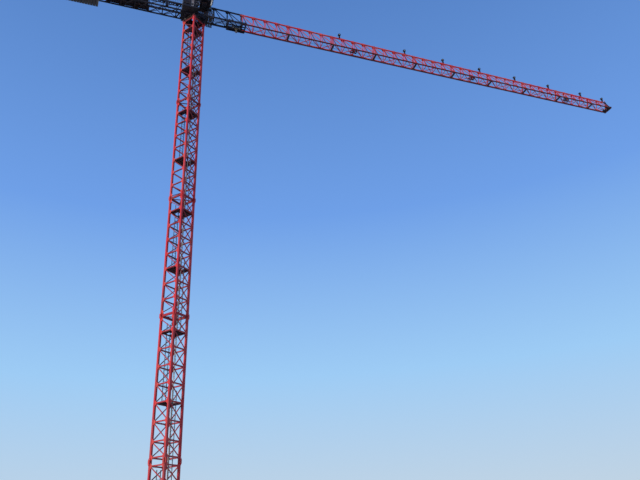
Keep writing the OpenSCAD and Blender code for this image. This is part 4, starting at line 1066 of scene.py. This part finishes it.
def end_fittings():
    """Buffer, rope anchorage, floor plates and ties of the jib's end frame."""
    shape = Shape()
    end, z = ANCHOR_X, JIB_Z
    shape.box((end - 0.02, -0.22, z + 0.002), (end, 0.22, z + 0.11))
    shape.box((end - 0.10, -0.05, z + 0.002), (end - 0.02, 0.05, z + 0.05))
    for s in SIDES:
        shape.box((end - 0.3, s * 0.08, z + 0.018), (end - 0.02, s * 0.22, z + 0.03))
        shape.beam((end - 0.01, s * 0.2, z + 0.1), (end - 0.01, s * 0.03, z + 0.5), 0.04, 0.02)
    shape.made("jib_end_fittings", navy, "upperworks", "navy_paint", 0.001)


def warning_lamp():
    """Red warning lamp at the jib's end and the wind gauge on the head."""
    shape, base = Shape(), Shape()
    foot = Vector((TIP_X - 0.2, 0, top_at(JIB_END_X + END_L)))
    base.turned(foot, UP, [(0, 0.03), (0.01, 0.03), (0.02, 0.014), (0.07, 0.014), (0.08, 0.03), (0.095, 0.03)])
    shape.turned(foot + UP * 0.095, UP, [(0, 0.027), (0.05, 0.026), (0.07, 0.016), (0.076, 0.004)], 20)
    shape.made("warning_lamp", red_lens, "upperworks", "glass")
    foot = Vector((-0.655, -0.3, HEAD_TOP - 0.02))
    hub = foot + UP * 0.35
    base.rod(foot, hub, 0.01)
    for out in spokes(3, start=20):
        cup = hub + out * 0.06
        base.rod(hub, cup, 0.004, 6)
        base.turned(cup, UP.cross(out), [(0, 0.02), (0.012, 0.017), (0.02, 0.006)], 12)
    base.made("signal_posts", dull_steel, "upperworks", "galvanised")


def trolley_winch():
    """The trolley's winch on the platform at the jib's root."""
    drum, body, coil = Shape(), Shape(), Shape()
    x, z, flange, barrel = 0.88, low("jib_root").z - 0.105, 0.06, 0.042
    drum.turned((x, -0.20, z), (0, 1, 0), [(0, flange), (0.008, flange), (0.009, barrel), (0.151, barrel),
                                           (0.152, flange), (0.16, flange)], 28)
    for k in range(11):
        coil.hoop((x, -0.184 + k * 0.0128, z), (0, 1, 0), 0.047, 0.0055, 24)
    cheek = ((-0.07, PLATFORM_Z), (0.07, PLATFORM_Z), (0.03, z + 0.03), (-0.03, z + 0.03))
    for y in (-0.225, -0.035):
        body.plate([(x + a, y, b) for a, b in cheek], (0, 0.014, 0))
    body.turned((x, -0.225, z), (0, -1, 0), [(0, 0.045), (0.03, 0.045), (0.035, 0.036), (0.11, 0.036),
                                             (0.115, 0.04), (0.14, 0.04)], 20)
    body.box((x - 0.1, -0.36, PLATFORM_Z), (x + 0.1, -0.02, PLATFORM_Z + 0.012))
    drum.made("trolley_drum", dull_steel, "upperworks", "galvanised")
    coil.made("trolley_drum_rope", rope, "upperworks", "rope")
    body.made("trolley_winch_body", navy, "upperworks", "navy_paint", 0.001)


jib_pins()
jib_gussets()
root_catwalk()
safety_line()
lamp_details()
roller_frames()
end_fittings()
warning_lamp()
trolley_winch()


# Counter-jib

COUNTER_FLOOR = low("counter_jib_floor").z
FLOOR_Z = COUNTER_FLOOR + 0.014
COUNTER_LOW = low("counter_jib").z + 0.06      # top of the lower chords
COUNTER_FRAMES = [-1.015 - 0.734 * k for k in range(8)]


def counter_jib_details():
    """Toe boards, rail mesh and bolted plates along the counter-jib."""
    boards, mesh, plates = Shape(), Shape(), Shape()
    x0, x1 = low("counter_jib_rails").x + 0.02, high("counter_jib_rails").x - 0.02
    wire, pitch, board_top = 0.0022, 0.06, FLOOR_Z + 0.07
    outline = ((-0.09, -0.002), (0.09, -0.002), (0.04, 0.07), (-0.04, 0.07))
    for s in SIDES:
        y = s * HALF_COUNTER
        boards.box((x0, y - 0.003, FLOOR_Z), (x1, y + 0.003, board_top))
        for x in steps(x0, x1, round((x1 - x0) / pitch)):
            mesh.rod((x, y, board_top), (x, y, FLOOR_Z + RAIL_H), wire, 4)
        for z in (board_top + pitch * k for k in range(1, 7)):
            mesh.rod((x0, y, z), (x1, y, z), wire, 4)
        for x in COUNTER_FRAMES:
            for z, up in ((COUNTER_LOW, 1), (COUNTER_FLOOR - 0.06, -1)):
                if x > -5.0 or up > 0:
                    plates.plate([(x + a, s * 0.278, z + up * b) for a, b in outline], (0, s * PLATE_T, 0))
    boards.made("counter_jib_toe_boards", navy, "upperworks", "navy_paint")
    mesh.made("counter_jib_mesh", dull_steel, "upperworks", "galvanised")
    plates.made("counter_jib_gussets", navy, "upperworks", "navy_paint")


def counter_jib_grating():
    """Service grating on the lower chords, below the winch."""
    shape = Shape()
    x0, x1 = COUNTER_FRAMES[5] - 0.015, COUNTER_FRAMES[2] + 0.023
    y0, y1, z = -0.03, 0.266, COUNTER_LOW + 0.002
    bar, cross = 0.003, 0.005
    for y in steps(y0, y1 - bar, round((y1 - y0) / 0.02)):
        shape.box((x0, y, z), (x1, y + bar, z + 0.02))
    for x in steps(x0, x1 - cross, round((x1 - x0) / 0.03)):
        shape.box((x, y0 + 0.001, z + 0.012), (x + cross, y1 - 0.001, z + 0.019))
    shape.made("counter_jib_grating", navy, "upperworks", "galvanised")


WINCH_X = (low("hoist_winch").x + high("hoist_winch").x) / 2
DRUM_Z = FLOOR_Z + 0.23
DRUM_R = 0.1355                                # to the middle of the rope on the drum


def winch_details():
    """Rope on the drum, motor fins, brake disc, guards and bolts of the hoist winch."""
    coil, fins, covers, heads = Shape(), Shape(), Shape(), Shape()
    for k in range(24):
        coil.hoop((WINCH_X, -0.143 + 0.0124 * k, DRUM_Z), (0, 1, 0), DRUM_R, ROPE_R, 36)
    coil.made("drum_rope", rope, "upperworks", "rope")
    motor = Vector((WINCH_X + 0.24, 0, FLOOR_Z + 0.16))
    x, y, z = motor
    for out in spokes(28, level=False):
        p = motor + out * 0.081
        fins.beam(p, p + Vector((0, 0.14, 0)), 0.004, 0.016, up=out)
    covers.cap((x, 0.145, z), (0, 1, 0), 0.09, 0.05, 0.065, 0.07, 28)
    covers.turned((x, -0.052, z), (0, 1, 0), [(0, 0.068), (0.014, 0.068)], 28)
    covers.box((x - 0.045, 0.01, z + 0.075), (x + 0.045, 0.11, z + 0.125))
    for cap_y, bolt_y, s in ((-0.215, -0.227, -1), (0.2, 0.212, 1)):
        covers.cap((WINCH_X, cap_y, DRUM_Z), (0, s, 0), 0.06, 0.012, 0.016, 0.045, 24)
        for out in spokes(8, level=False):
            heads.bolt(Vector((WINCH_X, bolt_y, DRUM_Z)) + out * 0.05, (0, s, 0), 0.006)
    for x, y in ((a, b) for a in (-0.33, -0.15, 0.09, 0.34) for b in (-0.235, 0.235)):
        heads.bolt((WINCH_X + x, y, FLOOR_Z + 0.05), UP, 0.014)
    covers.box((WINCH_X + 0.17, -0.22, FLOOR_Z + 0.239), (WINCH_X + 0.31, -0.07, FLOOR_Z + 0.25))
    for x, y in ((a, b) for a in (0.18, 0.3) for b in (-0.21, -0.08)):
        heads.bolt((WINCH_X + x, y, FLOOR_Z + 0.25), UP, 0.01)
    fins.made("winch_motor_fins", dull_steel, "upperworks", "galvanised")
    covers.made("winch_covers", dull_steel, "upperworks", "galvanised", 0.001)
    heads.made("winch_bolts", bolts, "upperworks", "bare_steel")


def slab_loops():
    """Lifting loops cast into the ballast slabs, and the bars that lock them together."""
    loops, ties = Shape(), Shape()
    x0, x1, top = low("counterweights").x, high("counterweights").x, high("counterweights").z
    half = [(0.035, -0.03), (0.035, 0.015), (0.02, 0.034)]
    outline = [(-a, b) for a, b in half] + half[::-1]
    for x in steps(x0, x1 - SLAB_T, round((x1 - x0 - SLAB_T) / SLAB_STEP)):
        for y in (-0.16, 0.16):
            loops.tube([(x + SLAB_T / 2, y + a, top + b) for a, b in outline], 0.006, 8)
    for y in (-0.25, 0.25):
        ties.box((x0 + 0.02, y - 0.02, top), (x1 - 0.02, y + 0.02, top + 0.01))
    loops.made("slab_loops", bolts, "upperworks", "bare_steel")
    ties.made("slab_ties", navy, "upperworks", "navy_paint")


counter_jib_details()
counter_jib_grating()
winch_details()
slab_loops()


# Ropes, trolley and hook

WHEELS = (low("trolley_frame").x + high("trolley_frame").x) / 2
TROLLEY_HALF = high("trolley_frame").x - WHEELS
WHEEL_D = 0.09
SHEAVE_Z = (low("trolley_sheaves").z + high("trolley_sheaves").z) / 2
SHEAVE_X, SHEAVE_R = 0.1706, 0.08
FALL_X = 0.0903
BLOCK_Z = high("rope_falls").z - 0.12
LINE_Z = SHEAVE_Z + SHEAVE_R
HEAD_SHEAVE_Z, HEAD_SHEAVE_R = HEAD_TOP + 0.14, 0.112
TURN_R = 0.111
TURN_X = HEAD_SHEAVE_R + ROPE_R + TURN_R
TURN_Z = LINE_Z + TURN_R


def arc(x, z, r, a, b, n=14):
    """Points of an arc in the jib's middle plane, from angle a to b."""
    return [(x + r * math.cos(math.radians(t)), 0, z + r * math.sin(math.radians(t))) for t in steps(a, b, n)]


def hoist_rope():
    """The hoist rope from drum to head sheave, trolley, hook block and jib end, one piece for each body it follows."""
    slope = math.atan2(HEAD_SHEAVE_Z - DRUM_Z, -WINCH_X)
    start = (WINCH_X - math.sin(slope) * DRUM_R, 0, DRUM_Z + math.cos(slope) * DRUM_R)
    over_head = arc(0, HEAD_SHEAVE_Z, HEAD_SHEAVE_R + ROPE_R, 90 + math.degrees(slope), 0)
    path = [start] + over_head + arc(TURN_X, TURN_Z, TURN_R, 180, 270)
    Shape().tube(path, ROPE_R).made("hoist_rope_head", rope, "upperworks", "rope")

    rear, front = WHEELS - SHEAVE_X, WHEELS + SHEAVE_X
    line = [(x, 0, LINE_Z) for x in (TURN_X, TURN_X + 0.1, rear - 0.02, rear)]
    piece = Shape().tube(line, ROPE_R).mesh("hoist_rope_rear", rope)
    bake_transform(piece)
    over = Shape()
    for x, end in ((rear, 0), (front, 180)):
        over.tube(arc(x, SHEAVE_Z, SHEAVE_R, 90, end), ROPE_R)
    over.made("hoist_rope_trolley", rope, "trolley", "rope")
    line = [(x, 0, LINE_Z) for x in (front, front + 0.02, ANCHOR_X - 0.1, ANCHOR_X)]
    piece = Shape().tube(line, ROPE_R).mesh("hoist_rope_front", rope)
    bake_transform(piece)
    falls = Shape()
    for x in (WHEELS - FALL_X, WHEELS + FALL_X):
        falls.tube([(x, 0, z) for z in (SHEAVE_Z, SHEAVE_Z - 0.01, BLOCK_Z + 0.01, BLOCK_Z)], ROPE_R)
    piece = falls.mesh("hoist_rope_falls", rope)
    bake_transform(piece)
    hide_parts("rope_falls")
    Shape().tube(arc(WHEELS, BLOCK_Z, FALL_X, 180, 360, 24), ROPE_R).made("hoist_rope_block", rope, "hook", "rope")


def head_rope_gear():
    """Grooved rims of the head's sheave, and the sheave that turns the rope along the jib."""
    rims, cheeks = Shape(), Shape()
    for x, z, r, groove, flange, bore in (
            (0, HEAD_SHEAVE_Z, HEAD_SHEAVE_R, 0.0005, 0.012, HEAD_SHEAVE_R - 0.02),
            (TURN_X, TURN_Z, TURN_R - ROPE_R, 0, 0.004, 0.02)):
        half = [(-0.012, bore), (-0.012, r + flange), (-0.008, r + flange), (-0.006, r + groove)]
        rims.turned((x, 0, z), (0, 1, 0), half + [(-w, d) for w, d in half[::-1]], 40)
    rims.made("head_sheave_rims", bare_steel, "upperworks", "bare_steel")
    foot = DECK_Z + 0.0145
    outline = ((-0.07, foot), (0.13, foot), (0.035, TURN_Z + 0.035), (-0.035, TURN_Z + 0.035))
    for s in SIDES:
        y = s * 0.02
        cheeks.plate([(TURN_X + a, y, b) for a, b in outline], (0, s * 0.012, 0))
        cheeks.box((TURN_X - 0.07, y, foot), (TURN_X + 0.13, y + s * 0.05, foot + 0.01))
        cheeks.bolt((TURN_X, s * 0.032, TURN_Z), (0, s, 0), 0.022)
    cheeks.rod((TURN_X, -0.032, TURN_Z), (TURN_X, 0.032, TURN_Z), 0.018, 16)
    cheeks.made("turning_sheave_cheeks", navy, "upperworks", "navy_paint", 0.001)


def trolley_ropes():
    """The two ropes that draw the trolley in and out."""
    z, y, winch = SHEAVE_Z + 0.03, -0.11, 0.94
    rear, front = low("trolley_frame").x, high("trolley_frame").x
    for name, a, b, bodies in (("trolley_rope_rear", winch, rear, ("upperworks", "trolley")),
                               ("trolley_rope_front", front, ANCHOR_X, ("trolley", "upperworks"))):
        line = [(x, y, z) for x in (a, a + 0.02, b - 0.02, b)]
        piece = Shape().tube(line, 0.004, 6).mesh(name, rope)
        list(bodies)
        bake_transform(piece)


def trolley_details():
    """Sheave guards, axle caps, wheel nuts, rope lugs and stays of the trolley."""
    guards, caps = Shape(), Shape()
    half_y, wheel_z = high("trolley_frame").y, high("trolley_wheels").z - WHEEL_D / 2
    for s in SIDES:
        for x in (WHEELS - SHEAVE_X, WHEELS + SHEAVE_X):
            c = Vector((x, s * 0.09, SHEAVE_Z))
            caps.cap(c, (0, s, 0), 0.032, 0.008, 0.012, 0.02)
            for out in spokes(4, level=False, start=45):
                caps.bolt(c + out * 0.024 + Vector((0, s * 0.008, 0)), (0, s, 0), 0.005)
        for end, back in ((a, b) for a in SIDES for b in (1, 2.6)):
            x = WHEELS + end * (TROLLEY_HALF - back * WHEEL_D)
            caps.cap((x, s * half_y, wheel_z), (0, s, 0), 0.022, 0.012, 0.016, 0.015, 6)
    for x in (WHEELS - SHEAVE_X, WHEELS + SHEAVE_X):
        for a in (-35, -145):
            px, py, pz = arc(x, SHEAVE_Z, 0.093, a, a, 1)[0]
            guards.rod((px, -0.074, pz), (px, 0.074, pz), 0.006)
    z = SHEAVE_Z + 0.04
    for end in SIDES:
        x = WHEELS + end * (TROLLEY_HALF - 0.035)
        guards.box((x - 0.03, -0.125, SHEAVE_Z + 0.012), (x + 0.03, -0.095, SHEAVE_Z + 0.05))
        for s in SIDES:
            outer, inner = WHEELS + end * (TROLLEY_HALF - 0.07), WHEELS + end * 0.12
            guards.beam((outer, s * 0.3, z), (inner, s * 0.1, z), 0.02, 0.02)
    guards.made("trolley_guards", navy, "trolley", "navy_paint")
    caps.made("trolley_caps", bolts, "trolley", "bare_steel", angle=20)


def hook_details():
    """Safety latch, nut, axle caps and plate bolts of the hook and its block."""
    caps, latch = Shape(), Shape()
    centre = Vector((WHEELS, 0, BLOCK_Z))
    for s in SIDES:
        face = centre + Vector((0, s * 0.036, 0))
        caps.cap(face, (0, s, 0), 0.03, 0.006, 0.01, 0.02, 20)
        for out in spokes(6, level=False):
            caps.bolt(face + out * 0.023 + Vector((0, s * 0.005, 0)), (0, s, 0), 0.004)
        for x, z in ((-0.06, 0.03), (0.06, 0.03), (-0.03, -0.09), (0.03, -0.09)):
            caps.bolt(face + Vector((x, 0, z)), (0, s, 0), 0.008)
    nut = [(0, 0.038), (0.006, 0.038), (0.007, 0.033), (0.024, 0.033), (0.028, 0.028)]
    caps.turned((WHEELS, 0, low("hook_block").z), DOWN, nut, 6)
    caps.made("hook_bolts", bolts, "hook", "bare_steel")
    bend_z = low("hook").z + 0.082
    latch.beam((WHEELS - 0.004, 0, bend_z + 0.045), (WHEELS - 0.052, 0, bend_z - 0.008), 0.016, 0.004)
    latch.rod((WHEELS - 0.002, -0.012, bend_z + 0.046), (WHEELS - 0.002, 0.012, bend_z + 0.046), 0.005)
    latch.made("hook_latch", bolts, "hook", "bare_steel")


hoist_rope()
head_rope_gear()
trolley_ropes()
trolley_details()
hook_details()


# Light and stage

FLOOR_RADIUS, FLOOR_T = 90, 0.05


def add_world():
    """Soft light from all round: clear blue above, pale near the horizon, dim below it."""
    world = bpy.data.worlds.new("studio")
    world.use_nodes = True
    nodes, links = world.node_tree.nodes, world.node_tree.links
    direction = nodes.new("ShaderNodeTexCoord")
    split = nodes.new("ShaderNodeSeparateXYZ")
    ramp = nodes.new("ShaderNodeValToRGB")
    links.new(direction.outputs["Generated"], split.inputs[0])
    links.new(split.outputs[2], ramp.inputs[0])
    stops = ramp.color_ramp.elements
    stops[0].position, stops[0].color = 0.0, (0.34, 0.35, 0.40, 1)
    stops[1].position, stops[1].color = 0.8, (0.085, 0.21, 0.54, 1)
    for place, colour in ((0.03, (0.55, 0.66, 0.76, 1)), (0.25, (0.34, 0.60, 0.91, 1)), (0.5, (0.16, 0.35, 0.80, 1))):
        stops.new(place).color = colour
    links.new(ramp.outputs[0], nodes["Background"].inputs["Color"])
    scene.world = world


def add_sun(name, direction, power, angle, colour=(1, 1, 1), gloss=1.0):
    light = bpy.data.lights.new(name, "SUN")
    light.energy = power
    light.angle = math.radians(angle)
    light.color = colour
    light.specular_factor = gloss
    lamp = bpy.data.objects.new(name, light)
    lamp.rotation_euler = Vector(direction).to_track_quat("Z", "Y").to_euler()
    scene.collection.objects.link(lamp)


add_world()
add_sun("fill", (0.55, 0.75, 0.40), 1.1, 40, gloss=0.0)
add_sun("key", (-0.82, -0.53, 0.22), 3.2, 8, (1, 0.86, 0.74))
scene.view_settings.view_transform = "Standard"

floor = Shape().turned((0, 0, -FLOOR_T), UP, [(0, FLOOR_RADIUS), (FLOOR_T, FLOOR_RADIUS)], 96).mesh(
    "floor", studio_floor("studio_floor"))
